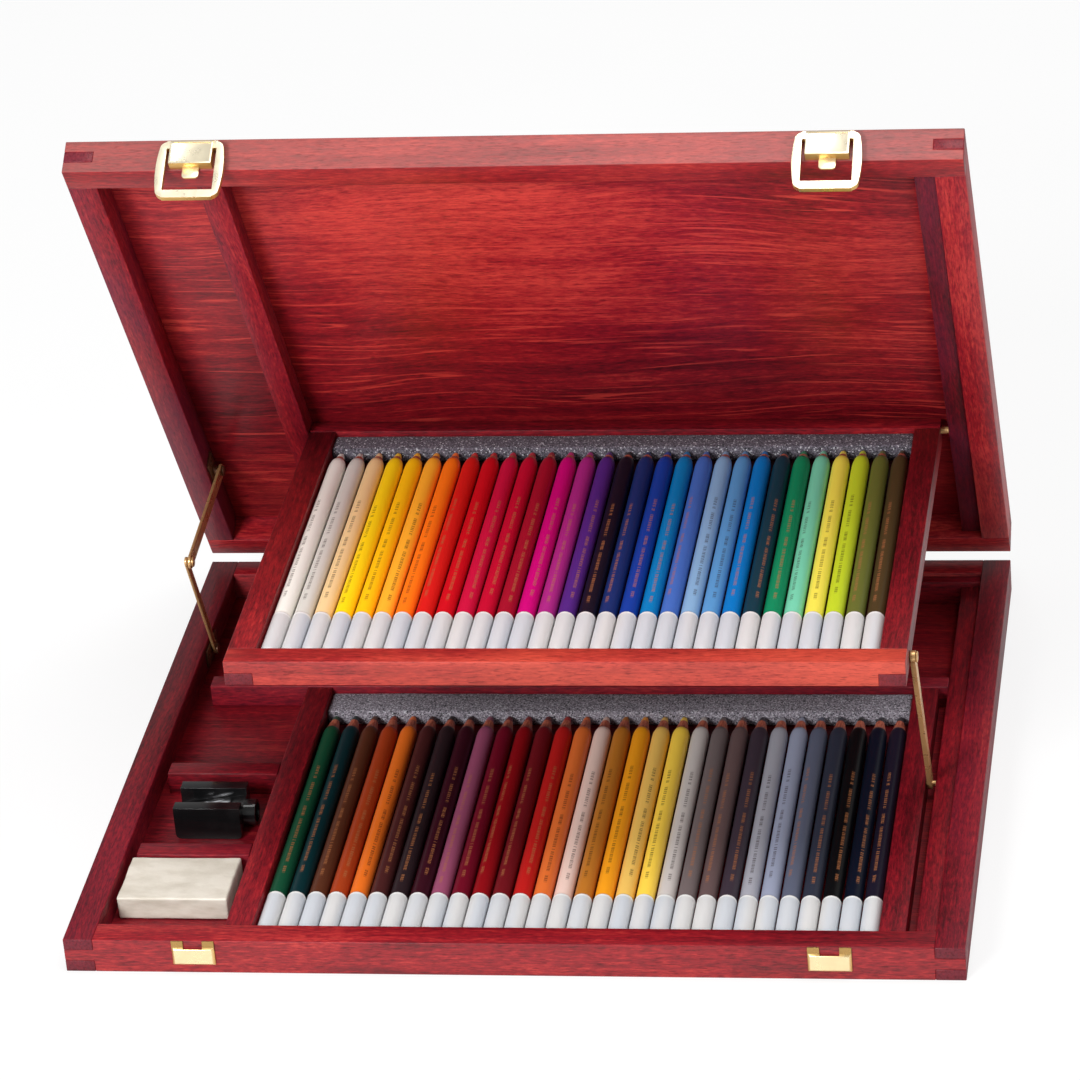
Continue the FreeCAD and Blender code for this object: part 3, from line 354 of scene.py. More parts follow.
def stained_wood(name, along, lid=False, tone=0.0, figure=0.0, cool=0.0, warm=0.0, worn=0.0,
                 polish=0.1, shift=0.0, patches=()):
    """Red-stained, satin-varnished wood whose grain runs along x or y of its part.

    tone lightens or darkens the stain, figure adds long bright lines as on a sliced
    veneer, cool adds purple, warm adds orange, worn pales the faces along the
    front and the back with a painted sheen, a painted reflection of the bright surroundings,
    polish is the varnish's share, and patches are (x, y, radius, strength) of painted
    pools of light and shade.
    """
    wood = bpy.context.scene.case_wood
    shader = Shader(name, specular_ior_level=0.2, coat_weight=polish, coat_roughness=0.22)
    place = shader.place()
    if lid:
        place = shader.node("ShaderNodeMapping", {"vector_type": "TEXTURE"},
                            {"Vector": place, "Location": HINGE, "Rotation": (-OPENING, 0, 0)})
    # Painted pools of light and shade: the stain is lightened or darkened round each given place
    painted_pools = 0.0
    for x, y, radius, strength in patches:
        near = shader.stretch(place, (1, 1, 1), shift=(-x, -y, 0))
        reach = shader.vector("LENGTH", shader.vector("MULTIPLY", near, POOL_SHAPE),
                              output="Value")
        painted_pools = shader.range(reach, 0.0, radius, strength, 0.0) + painted_pools
    quarter = math.radians(-90) if along == "y" else 0.0
    place = shader.stretch(place, (1, 1, 1), shift=(shift, shift, 0), turn=(0, 0, quarter))
    axis = (1, 0, 0) if along == "x" else (LID_GRAIN if lid else (0, 1, 0))

    def layer(kind, where, detail, roughness=0.5, shift=(0, 0, 0)):
        return shader.noise(shader.stretch(where, GRAIN[kind], shift), detail, roughness)

    bend = shader.node("ShaderNodeCombineXYZ", None, {"Y": layer("drift", place, 2)})
    warped = shader.vector("MULTIPLY_ADD", bend, (0, 0.016 + 0.03 * figure, 0), place)
    streak = layer("streak", warped, 6, 0.6)
    speck = layer("speck", warped, 3, 0.65)
    fine = layer("fine", warped, 3, 0.6)
    cloud = layer("cloud", place, 3)
    pores = layer("pores", warped, 2)

    level = streak * 0.35 + speck * 0.5 + fine * 0.25 + cloud * 0.4 + tone + painted_pools - 0.25
    colour = shader.ramp(level, (0.34, wood.dark), (0.48, wood.middle), (0.6, wood.bright),
                         (0.78, wood.fleck))
    if figure:
        bands = layer("bands", warped, 2, shift=(3, 0, 0))
        gate = layer("gate", warped, 2, shift=(0, 0, 7))
        lines = shader.range((bands * 62).math("SINE"), 0.55, 0.98)
        lines = lines * shader.range(gate, 0.46, 0.62)
        colour = shader.mix(lines * figure, colour, wood.fleck)
    if cool:
        colour = shader.mix(shader.range(cloud, 0.35, 0.62) * cool, colour, wood.shade)
    if warm:
        colour = shader.mix(shader.range(cloud, 0.25, 0.7) * warm, colour, wood.amber)
    # Painted sheen: faces along the front and the back are paled as a painted reflection of the bright
    # surroundings, and their pores show less
    if worn:
        front = shader.range(shader.facing(LID_GRAIN if lid else (0, 1, 0)), 0.7, 0.95)
        colour = shader.mix(front * worn, colour, wood.sheen_colour)
    colour = shader.mix(shader.range(pores, 0.55, 0.66) * (0.5 - 0.7 * worn), colour, wood.dark)
    ends = shader.mix(shader.range(layer("rings", place, 3), 0.2, 0.6), wood.dark,
                      wood.end_grain)
    end_mask = shader.range(shader.facing(axis), 0.75, 0.92)
    colour = shader.mix(end_mask * 0.6, colour, ends)
    relief = shader.bump(fine * 0.4 + pores * 0.6, 0.08 * MM, 0.3)
    return shader.set(base_color=colour, roughness=shader.range(cloud, 0.3, 0.7, 0.42, 0.55),
                      normal=relief)


def brass_finish(name, colour, roughness=0.3, metallic=0.75, front=None, rim=None):
    """Plated brass with duller patches, and a deeper colour, a painted reflection of the
    dark surroundings, on what doesn't look along the front axis."""
    shader = Shader(name, metallic=metallic)
    place = shader.place()
    patches = shader.noise(shader.stretch(place, (160, 160, 160)), detail=4)
    darker = tuple(level * 0.85 for level in colour[:3]) + (1.0,)
    tint = shader.mix(shader.range(patches, 0.35, 0.7, 0.0, 0.5), colour, darker)
    # Painted reflection: faces turned away from the front take the deeper colour
    if front:
        tint = shader.mix(shader.range(shader.facing(front), 0.97, 0.6), tint, rim)
    gloss = shader.range(patches, 0.3, 0.7, roughness - 0.06, roughness + 0.12)
    return shader.set(base_color=tint, roughness=gloss)


def foam_finish(name, shades):
    """Grey open foam from three shades of its skin, with pale painted glints on scattered cells and painted shade
    in its holes.
    """
    shader = Shader(name, roughness=0.85)
    place = shader.place()
    cells = shader.node("ShaderNodeTexVoronoi", {"feature": "F1"},
                        {"Vector": place, "Scale": 1900.0}, output="Color")
    pick = shader.node("ShaderNodeSeparateColor", None, {"Color": cells}, output="Red")
    fine = shader.noise(place, scale=1500.0, detail=3)
    shade = shader.ramp(fine, *zip((0.3, 0.55, 0.75), shades))
    # Painted glints: pale specks on scattered cells
    colour = shader.mix(shader.range(pick, 0.9, 0.97) * 0.8, shade, srgb(196, 196, 202))
    # Painted shade: dark holes in scattered cells, which the bump also sinks
    shaded_holes = shader.range(pick, 0.0, 0.25)
    colour = shader.mix(shaded_holes, srgb(30, 30, 34), colour)
    relief = shader.bump(fine * 0.6 + shaded_holes * 0.4, 0.5 * MM, 0.8)
    return shader.set(base_color=colour, normal=relief)


# Mesh helpers

def only(piece):
    """Make a piece the one that is selected and active."""
    bpy.ops.object.select_all(action="DESELECT")
    piece.select_set(True)
    bpy.context.view_layer.objects.active = piece


def choose(piece, kind, test):
    """In edit mode, select only the verts, edges or faces that pass a test."""
    bpy.context.tool_settings.mesh_select_mode = (kind == "verts", kind == "edges", kind == "faces")
    mesh = bmesh.from_edit_mesh(piece.data)
    for group in (mesh.faces, mesh.edges, mesh.verts):
        for element in group:
            element.select = False
    for element in getattr(mesh, kind):
        if test(element):
            element.select_set(True)
    mesh.select_flush_mode()
    bmesh.update_edit_mesh(piece.data)


def begin(piece):
    only(piece)
    bpy.ops.object.mode_set(mode="EDIT")


def end():
    bpy.ops.object.mode_set(mode="OBJECT")


def bevel_chosen(width, segments):
    bpy.ops.mesh.bevel(offset=width, segments=segments, affect="EDGES")


def runs_along(edge, axis):
    way = edge.verts[1].co - edge.verts[0].co
    return abs(way.normalized()[axis]) > 0.99


def faces_front(face):
    return face.normal.y < -0.9


def named(piece, name):
    piece.name = name
    piece.data.name = name
    return piece


def placed(name, data):
    """A new object for some data, put in the scene."""
    piece = bpy.data.objects.new(name, data)
    bpy.context.scene.collection.objects.link(piece)
    return piece


def block(name, low, high):
    """A box from its low and high corners, to be shaped further."""
    low, high = Vector(low), Vector(high)
    bpy.ops.object.select_all(action="DESELECT")
    bpy.ops.mesh.primitive_cube_add(size=1, location=(low + high) / 2, scale=high - low)
    piece = named(bpy.context.object, name)
    bpy.ops.object.transform_apply(location=True, rotation=True, scale=True)
    return piece


def modified(piece, kind, **settings):
    """Add a modifier and apply it."""
    only(piece)
    modifier = piece.modifiers.new(kind.title(), kind)
    for key, value in settings.items():
        setattr(modifier, key, value)
    bpy.ops.object.modifier_apply(modifier=modifier.name)
    return piece


def cut_away(piece, tool):
    """Subtract a tool from a piece, and drop the tool."""
    modified(piece, "BOOLEAN", object=tool, operation="DIFFERENCE", solver="EXACT")
    bpy.data.objects.remove(tool)
    return piece


def smoothed(piece):
    """Shade a piece smooth, apart from its sharp edges."""
    only(piece)
    bpy.ops.object.shade_smooth_by_angle(angle=CURVED)
    return piece


def eased(piece, width, segments=2, angle=30):
    """Round every sharp edge of a piece."""
    modified(piece, "BEVEL", width=width, segments=segments, limit_method="ANGLE",
             angle_limit=math.radians(angle))
    return smoothed(piece)


def moved(piece, matrix):
    """Put a piece in place and keep its object at the origin."""
    piece.data.transform(matrix)
    piece.data.update()
    return piece


def joined(name, pieces):
    bpy.ops.object.select_all(action="DESELECT")
    for piece in pieces:
        piece.select_set(True)
    bpy.context.view_layer.objects.active = pieces[0]
    bpy.ops.object.join()
    return named(bpy.context.object, name)


def duplicate(piece, name):
    return named(placed(name, piece.data.copy()), name)


def painted(piece, *materials):
    piece.data.materials.clear()
    for material in materials:
        piece.data.materials.append(material)
    return piece


def stands_for(piece, *nodes):
    """Ride with the model's nodes, and hide them so the piece replaces them."""
    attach(piece, BODY_OF[nodes[0]])
    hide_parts(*nodes)
    return piece


def softened(node, width, suffix, segments=2, round_feet=0.0):
    """A copy of a node's own shape with its edges eased, and its lowest ends rounded."""
    piece = placed(f"{node}_{suffix}", frame["nodes"][node].data.copy())
    begin(piece)
    bpy.ops.mesh.select_all(action="SELECT")
    bpy.ops.mesh.remove_doubles(threshold=WELD)
    bpy.ops.mesh.dissolve_limited(angle_limit=math.radians(0.5))
    if round_feet:
        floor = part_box(node)[0].z
        choose(piece, "edges", lambda edge: runs_along(edge, 1)
               and max(vertex.co.z for vertex in edge.verts) < floor + 0.1 * MM)
        bevel_chosen(round_feet, 5)
    end()
    eased(piece, width, segments)
    return stands_for(piece, node)


def closed_box(node):
    """A lid node's box with the lid shut, where its pieces are modelled."""
    points = [CLOSE_LID @ vertex.co for vertex in frame["nodes"][node].data.vertices]
    return (Vector([min(point[axis] for point in points) for axis in range(3)]),
            Vector([max(point[axis] for point in points) for axis in range(3)]))


def turned(name, profile, sides):
    """A lathe-turned shape about +Y from rings of (distance along, radius)."""
    start, radius = profile[0]
    bpy.ops.object.select_all(action="DESELECT")
    bpy.ops.mesh.primitive_circle_add(vertices=sides, radius=radius, fill_type="NGON",
                                      location=(0, start, 0), rotation=(math.radians(90), 0, 0))
    piece = named(bpy.context.object, name)
    bpy.ops.object.transform_apply(location=True, rotation=True, scale=True)
    begin(piece)
    bpy.ops.mesh.select_all(action="SELECT")
    bpy.ops.mesh.flip_normals()
    for (here, wide), (there, narrow) in zip(profile, profile[1:]):
        bpy.ops.mesh.extrude_region_move(TRANSFORM_OT_translate={"value": (0, there - here, 0)})
        share = narrow / wide
        bpy.ops.transform.resize(value=(share, 1, share), center_override=(0, there, 0))
    bpy.ops.mesh.select_all(action="SELECT")
    bpy.ops.mesh.normals_make_consistent(inside=False)
    end()
    return piece


def stain_boards(kinds):
    """Ease boards of the model, and give each its stained wood."""
    for node, material in kinds.items():
        painted(softened(node, bpy.context.scene.case_wood.edge, "board"), material)
    return {"FINISHED"}


class CASE_OT_boards(bpy.types.Operator):
    """Walls, bottom, rails, bars and dividers of the lower case"""

    bl_idname = "pencil_case.boards"
    bl_label = "Case boards"

    def execute(self, context):
        across = stained_wood("case_wood_across", "x", tone=0.08, worn=0.06, shift=0.31)
        deep = stained_wood("case_wood_deep", "y", tone=-0.02, cool=0.2, shift=0.17)
        rails = stained_wood("rail_wood", "y", tone=-0.02, shift=0.53)
        bars = stained_wood("bar_wood", "x", cool=0.2, shift=0.71)
        floor = stained_wood("bottom_ply", "x", figure=0.2, shift=0.9)
        return stain_boards({
            "case_front_wall": across, "case_back_wall": across,
            "case_left_wall": deep, "case_right_wall": deep,
            "case_left_rail": rails, "case_right_rail": rails, "case_right_batten": rails,
            "case_rear_ledge": bars, "case_cross_bar": bars,
            "front_divider": bars, "rear_divider": bars, "case_bottom": floor,
        })


class CASE_OT_lid(bpy.types.Operator):
    """Walls, panel and battens of the lid"""

    bl_idname = "pencil_case.lid"
    bl_label = "Lid boards"

    def execute(self, context):
        front = stained_wood("lid_wood_front", "x", lid=True, tone=0.07, warm=0.08, worn=0.3,
                             shift=0.23)
        across = stained_wood("lid_wood_back", "x", lid=True, tone=0.1, shift=0.67)
        deep = stained_wood("lid_wood_deep", "y", lid=True, tone=0.08, cool=0.65, shift=0.47)
        clear = stained_wood("lid_wood_clear", "y", lid=True, tone=0.13, cool=0.15, shift=0.41)
        batten = stained_wood("batten_wood", "y", lid=True, tone=0.06, cool=0.3, shift=0.29)
        dark_batten = stained_wood("batten_wood_dark", "y", lid=True, tone=-0.07, cool=0.5,
                                   shift=0.77)
        panel = stained_wood("lid_veneer", "x", lid=True, tone=0.06, figure=0.85, shift=0.61,
                             patches=VENEER_LIGHT_POOLS)
        return stain_boards({
            "lid_front_wall": front, "lid_back_wall": across,
            "lid_left_wall": deep, "lid_right_wall": clear,
            "lid_left_batten": batten, "lid_right_batten": dark_batten, "lid_panel": panel,
        })


class CASE_OT_tray(bpy.types.Operator):
    """Frame and panel of the lifting tray"""

    bl_idname = "pencil_case.tray"
    bl_label = "Tray boards"

    def execute(self, context):
        front = stained_wood("tray_wood_front", "x", tone=0.14, warm=0.4, worn=0.08, shift=0.37)
        across = stained_wood("tray_wood_across", "x", tone=-0.02, shift=0.59)
        deep = stained_wood("tray_wood_deep", "y", tone=-0.02, warm=0.06, shift=0.83)
        # Painted shade: the tray's panel is stained much darker, so the gaps beside its pencils read as shadow
        ply = stained_wood("tray_ply", "x", tone=-0.2, shift=0.11)
        return stain_boards({
            "tray_front_rail": front, "tray_rear_rail": across, "tray_panel": ply,
            "tray_left_rail": deep, "tray_right_rail": deep,
        })


class CASE_OT_foam(bpy.types.Operator):
    """Foam strips behind the pencil points"""

    bl_idname = "pencil_case.foam"
    bl_label = "Foam strips"

    def execute(self, context):
        # Painted light: the case's foam, in the tray's shade, takes lighter greys than the tray's foam
        dark = (srgb(50, 48, 55), srgb(92, 86, 97), srgb(140, 134, 145))
        light = (srgb(72, 70, 77), srgb(140, 133, 143), srgb(206, 200, 209))
        sag = 0.35 * MM
        cuts = 90
        waves_per_metre = 60
        for node, shades in (("case_foam", light), ("tray_foam", dark)):
            finish = foam_finish(node + "_cells", shades)
            low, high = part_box(node)
            strip = block(node + "_strip", low, high)
            eased(strip, 1.2 * MM, 3)
            begin(strip)
            choose(strip, "edges", lambda edge: runs_along(edge, 0))
            bpy.ops.mesh.subdivide(number_cuts=cuts)
            end()
            for vertex in strip.data.vertices:
                if vertex.co.z > low.z + 0.5 * (high.z - low.z):
                    wave = noise.noise(vertex.co * waves_per_metre)
                    vertex.co.z -= sag * (0.5 + 0.5 * wave)
            painted(strip, finish)
            stands_for(strip, node)
        return {"FINISHED"}


def pencil_finishes():
    """Dip, lacquer, bare wood and lead, coloured by each pencil's own attributes."""
    def attribute(shader, name, output="Color"):
        return shader.node("ShaderNodeAttribute", {"attribute_name": name}, output=output)

    dip = Shader("white_dip", roughness=0.35, specular_ior_level=0.4)
    tints = dip.noise(dip.stretch(dip.place(), (90, 6, 6)), detail=1)
    body = dip.mix(dip.range(tints, 0.35, 0.65), srgb(194, 198, 204), srgb(206, 205, 204))
    chart = dip.node("ShaderNodeUVMap", {"uv_map": "barrel"})
    along = dip.node("ShaderNodeSeparateXYZ", None, {"Vector": chart}, output="Y")
    dip.set(base_color=dip.mix(dip.range(along, 0.166, 0.173), body, srgb(234, 234, 232)))

    lacquer = Shader("pencil_lacquer", roughness=0.36, specular_ior_level=0.12)
    chart = lacquer.node("ShaderNodeUVMap", {"uv_map": "barrel"})
    around = lacquer.node("ShaderNodeSeparateXYZ", None, {"Vector": chart}, output="X")
    along = lacquer.node("ShaderNodeSeparateXYZ", None, {"Vector": chart}, output="Y")
    along = along + (attribute(lacquer, "foil", "Alpha") - 0.5)
    line = lacquer.node("ShaderNodeCombineXYZ", None, {"Y": along})
    strokes = lacquer.noise(lacquer.stretch(line, (1, 330, 1)), detail=0)
    words = lacquer.noise(lacquer.stretch(line, (1, 30, 1)), detail=1)
    band = lacquer.range((around - 0.5).math("ABSOLUTE"), 0.026, 0.03, 1.0, 0.0)
    reach = lacquer.range(along, 0.24, 0.242) * lacquer.range(along, 0.72, 0.722, 1.0, 0.0)
    stamp = lacquer.range(strokes, 0.5, 0.54) * lacquer.range(words, 0.40, 0.42) * band * reach
    lacquer.set(base_color=lacquer.mix(stamp * 0.85, attribute(lacquer, "lacquer"),
                                       attribute(lacquer, "foil")))

    wood = Shader("pencil_wood", roughness=0.6)
    grain = wood.noise(wood.stretch(wood.place(), (1400, 90, 1400)), detail=3)
    wood.set(base_color=wood.ramp(grain, (0.3, srgb(150, 62, 44)), (0.7, srgb(212, 122, 92))))

    lead = Shader("pencil_lead", roughness=0.7)
    chalk = attribute(lead, "lacquer")
    dust = lead.noise(lead.place(), scale=2600.0, detail=2)
    lead.set(base_color=lead.mix(lead.range(dust, 0.4, 0.8) * 0.2, chalk, srgb(214, 206, 204)),
             normal=lead.bump(dust, 0.08 * MM, 0.5))
    return dip.material, lacquer.material, wood.material, lead.material


def pencil_mesh(length, radius, settings, cut, finishes):
    """One pencil along +Y from its dipped end, in four finishes, with its UV chart."""
    taper, cone, edge_radius = cut
    edge = length - cone - settings.lead
    shoulder = edge - taper
    neck = length - settings.lead
    coat = 0.08 * MM
    barrel = radius - 2 * coat
    guard = 0.8 * MM
    profile = (
        (0.0, radius * 0.55), (0.3 * MM, radius * 0.82), (1.3 * MM, radius * 0.985),
        (3.0 * MM, radius), (settings.dip - guard, radius), (settings.dip - 0.15 * MM, radius),
        (settings.dip, barrel), (settings.dip + guard, barrel),
        (shoulder - guard, barrel), (shoulder + 0.3 * taper, 0.86 * barrel + 0.14 * edge_radius),
        (shoulder + 0.65 * taper, 0.5 * (barrel + edge_radius)), (edge - 0.1 * MM, edge_radius),
        (edge, edge_radius - coat),
        ((edge + neck) / 2, (edge_radius + settings.lead_radius) / 2 - coat),
        (neck, settings.lead_radius),
        (length - 0.45 * settings.lead, settings.lead_radius * 0.8),
        (length - 0.12 * settings.lead, settings.point_radius),
        (length, settings.point_radius * 0.45),
    )
    piece = painted(turned("pencil", profile, settings.sides), *finishes)
    chart = piece.data.uv_layers.new(name="barrel")
    limits = (settings.dip, edge, neck, length + coat)
    for face in piece.data.polygons:
        face.material_index = next(n for n, limit in enumerate(limits) if face.center.y < limit)
        face.use_smooth = len(face.vertices) == 4
        middle = math.atan2(face.center.x, face.center.z)
        for corner in face.loop_indices:
            spot = piece.data.vertices[piece.data.loops[corner].vertex_index].co
            angle = math.atan2(spot.x, spot.z)
            angle += math.tau * round((middle - angle) / math.tau)
            chart.data[corner].uv = (angle / math.tau + 0.5, spot.y / length)
    return piece


class CASE_OT_pencils(bpy.types.Operator):
    """Sixty pencils in two rows, ten to a node of the model"""

    bl_idname = "pencil_case.pencils"
    bl_label = "Pencils"

    def execute(self, context):
        settings = context.scene.case_pencils
        finishes = pencil_finishes()
        dice = random.Random(7)
        low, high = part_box("case_pencils_1")
        radius = (high.z - low.z) / 2
        bright_foil = srgb(164, 104, 66)
        dark_foil = srgb(48, 28, 26)
        for row, colours, cut in (("case", CASE_ROW, settings.case_cut),
                                  ("tray", TRAY_ROW, settings.tray_cut)):
            pattern = pencil_mesh(high.y - low.y, radius, settings, cut, finishes)
            nodes = [f"{row}_pencils_{number}" for number in (1, 2, 3)]
            per_node = len(colours) // len(nodes)
            for place, (shade, *levels) in enumerate(colours):
                colour = srgb(*levels)
                node = nodes[place // per_node]
                low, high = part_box(node)
                pitch = (high.x - low.x - 2 * radius) / (per_node - 1)
                name = f"{row}_pencil_{place + 1:02d}_{shade.replace(' ', '_')}"
                pencil = duplicate(pattern, name)
                roll = dice.uniform(-0.06, 0.06)
                slide = dice.uniform(-0.025, 0.025)
                for corner in pencil.data.uv_layers["barrel"].data:
                    corner.uv[0] += roll
                light = 0.2 * colour[0] + 0.7 * colour[1] + 0.1 * colour[2] > 0.18
                foil = dark_foil if light else bright_foil
                for layer, value in (("lacquer", colour), ("foil", foil[:3] + (0.5 + slide,))):
                    paint = pencil.data.attributes.new(layer, "FLOAT_COLOR", "POINT")
                    for item in paint.data:
                        item.color = value
                middle = Vector((low.x + radius + (place % per_node) * pitch, low.y,
                                 (low.z + high.z) / 2))
                moved(pencil, Matrix.Translation(middle))
                stands_for(pencil, node)
            bpy.data.objects.remove(pattern)
        return {"FINISHED"}


def slotted_screw(name, radius, height):
    """A screw head along +Y from the surface, domed, with a driver's slot."""
    sides = 20
    dome = ((-0.2 * height, radius * 0.96), (0.0, radius), (height * 0.35, radius * 0.93),
            (height * 0.75, radius * 0.66), (height, radius * 0.3))
    head = turned(name, dome, sides)
    slot = block(name + "_slot", (-1.2 * radius, 0.45 * height, -0.17 * radius),
                 (1.2 * radius, 1.5 * height, 0.17 * radius))
    return smoothed(cut_away(head, slot))


class CASE_OT_hinges(bpy.types.Operator):
    """Butt hinges and their screws on the back"""

    bl_idname = "pencil_case.hinges"
    bl_label = "Hinges"

    def execute(self, context):
        brass = brass_finish("hinge_brass", context.scene.case_brass.colour)
        for node in ("hinge_left_case_leaf", "hinge_left_lid_leaf", "hinge_left_pin",
                     "hinge_right_case_leaf", "hinge_right_lid_leaf", "hinge_right_pin"):
            painted(softened(node, 0.15 * MM, "brass"), brass)
        dice = random.Random(3)
        for node, lid in (("hinge_case_screws", False), ("hinge_lid_screws", True)):
            low, high = closed_box(node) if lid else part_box(node)
            radius = (high.z - low.z) / 2
            height = 0.8 * MM
            pattern = slotted_screw("screw_head", radius, height)
            heads = []
            for leaf in ("hinge_left_case_leaf", "hinge_right_case_leaf"):
                start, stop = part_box(leaf)
                for share in (1 / 6, 1 / 2, 5 / 6):
                    head = duplicate(pattern, "screw_head_copy")
                    spin = Matrix.Rotation(dice.uniform(0, math.pi), 4, "Y")
                    place = Vector((start.x + share * (stop.x - start.x), high.y - height,
                                    (low.z + high.z) / 2))
                    moved(head, Matrix.Translation(place) @ spin)
                    heads.append(head)
            screws = joined(node + "_heads", heads)
            if lid:
                moved(screws, OPEN_LID)
            painted(screws, brass)
            stands_for(screws, node)
            bpy.data.objects.remove(pattern)
        return {"FINISHED"}


class CASE_OT_stay(bpy.types.Operator):
    """Folding stay at the left, and the arm that carries the tray at the right"""

    bl_idname = "pencil_case.stay"
    bl_label = "Stay and arm"

    def execute(self, context):
        bright = brass_finish("link_brass", srgb(208, 166, 112), metallic=0.6)
        dull = brass_finish("plate_bronze", srgb(96, 62, 42), 0.4, 0.5)
        for node, width, finish in (
                ("stay_case_plate", 0.18, dull), ("stay_lid_plate", 0.18, dull),
                ("stay_case_screws", 0.15, dull), ("stay_lid_screws", 0.15, dull),
                ("stay_lower_bar", 0.25, bright), ("stay_upper_bar", 0.25, bright),
                ("tray_arm", 0.45, bright), ("tray_arm_rivet", 0.4, bright),
                ("tray_arm_pin", 0.2, bright), ("tray_pivot_pins", 0.2, bright)):
            painted(softened(node, width * MM, "brass"), finish)
        return {"FINISHED"}


# Rounding of the clasps' edges

LOOP_EDGE = 0.95 * MM
HOOD_EDGE = 0.35 * MM
TONGUE_EDGE = 0.25 * MM
PLATE_EDGE = 0.22 * MM
EAR_EDGE = 0.18 * MM


def clasp_loop(name, low, high, settings):
    """The loop with the lid shut: a flat rounded frame, widest half way down."""
    loop = block(name, low, high)
    narrowing = 0.11
    centre = (low + high) / 2
    half_width = (high.x - low.x) / 2
    half_height = (high.z - low.z) / 2
    begin(loop)
    choose(loop, "faces", lambda face: abs(face.normal.y) > 0.9)
    bpy.ops.mesh.inset(thickness=settings.loop_rim, use_individual=True)
    bpy.ops.mesh.bridge_edge_loops()
    choose(loop, "edges", lambda edge: runs_along(edge, 2) and edge.calc_length() > half_height)
    bpy.ops.mesh.subdivide(number_cuts=9)
    choose(loop, "edges", lambda edge: runs_along(edge, 1)
           and abs(edge.verts[0].co.x - centre.x) > half_width * 0.99
           and abs(edge.verts[0].co.z - centre.z) > half_height * 0.99)
    bevel_chosen(settings.loop_corner, 6)
    end()
    for vertex in loop.data.vertices:
        away = abs(vertex.co.x - centre.x) / half_width
        if away > 0.8:
            height = (vertex.co.z - centre.z) / half_height
            vertex.co.x = centre.x + (vertex.co.x - centre.x) * (1 - narrowing * height ** 2)
    return eased(loop, LOOP_EDGE, 4, 50)


def clasp_hood(name, low, high, face_y, settings):
    """The hood with its tongue, with the lid shut."""
    floor = high.z - settings.hood_height
    middle = (low.x + high.x) / 2
    shell = block(name, (low.x, low.y, floor), (high.x, face_y, high.z))
    begin(shell)
    choose(shell, "edges", lambda edge: runs_along(edge, 0)
           and edge.verts[0].co.y < face_y - 1.0 * MM and edge.verts[0].co.z > high.z - 1.0 * MM)
    bevel_chosen(settings.hood_round, 6)
    choose(shell, "faces", faces_front)
    bpy.ops.mesh.inset(thickness=settings.hood_rim, depth=0.0)
    bpy.ops.mesh.extrude_region_move(
        TRANSFORM_OT_translate={"value": (0, settings.hood_hollow, 0)})
    end()
    eased(shell, HOOD_EDGE)
    half = settings.tongue_width / 2
    back = face_y - settings.tongue_gap
    tongue = block(name + "_tongue", (middle - half, back - settings.tongue_thickness, low.z),
                   (middle + half, back, floor + 1.0 * MM))
    begin(tongue)
    choose(tongue, "edges", lambda edge: runs_along(edge, 1)
           and edge.verts[0].co.z < low.z + 1.0 * MM)
    bevel_chosen(settings.tongue_round, 4)
    end()
    eased(tongue, TONGUE_EDGE)
    return joined(name, [shell, tongue])


def clasp_catch(name, low, high, face_y, settings, brass, shaded):
    """The catch on the case's front: a thick bevelled plate with a slot behind it for
    the hood's tongue, and two thin ears above it."""
    front = face_y - settings.catch_depth
    ledge = high.z - settings.catch_ledge
    plate = block(name, (low.x, front, low.z), (high.x, face_y, ledge))
    begin(plate)
    choose(plate, "faces", faces_front)
    bevel_chosen(settings.catch_bevel, 1)
    end()
    eased(plate, PLATE_EDGE, angle=25)
    slot = block(name + "_slot", (low.x + settings.ear_width, front + settings.slot_skin,
                                  ledge - settings.slot_depth),
                 (high.x - settings.ear_width, face_y + 1.0 * MM, ledge + 1.0 * MM))
    parts = [painted(cut_away(plate, slot), brass)]
    for side, start in (("left", low.x), ("right", high.x - settings.ear_width)):
        ear = block(f"{name}_{side}", (start, face_y - settings.ear_thickness, ledge - 2.0 * MM),
                    (start + settings.ear_width, face_y, high.z))
        parts.append(painted(eased(ear, EAR_EDGE), shaded))
    return joined(name, parts)


class CASE_OT_clasps(bpy.types.Operator):
    """Hoods and loops on the lid, and catches on the case"""

    bl_idname = "pencil_case.clasps"
    bl_label = "Clasps"

    def execute(self, context):
        settings = context.scene.case_brass
        brass = brass_finish("clasp_brass", settings.colour, front=LID_GRAIN, rim=settings.edge)
        plate = brass_finish("catch_brass", settings.catch, front=(0, 1, 0), rim=settings.edge)
        # Painted shade on the ears, which sit back behind the plate
        shaded = brass_finish("ear_brass", settings.shaded)
        face_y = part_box("case_front_wall")[0].y
        for side in ("left", "right"):
            loop_node, hood_node = f"clasp_{side}_loop", f"clasp_{side}_hood"
            catch_node = f"clasp_{side}_catch"
            loop = clasp_loop(loop_node + "_brass", *closed_box(loop_node), settings)
            hood = clasp_hood(hood_node + "_brass", *closed_box(hood_node), face_y, settings)
            for piece, node in ((loop, loop_node), (hood, hood_node)):
                painted(moved(piece, OPEN_LID), brass)
                stands_for(piece, node)
            catch = clasp_catch(catch_node + "_brass", *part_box(catch_node), face_y, settings,
                                plate, shaded)
            stands_for(catch, catch_node)
        return {"FINISHED"}


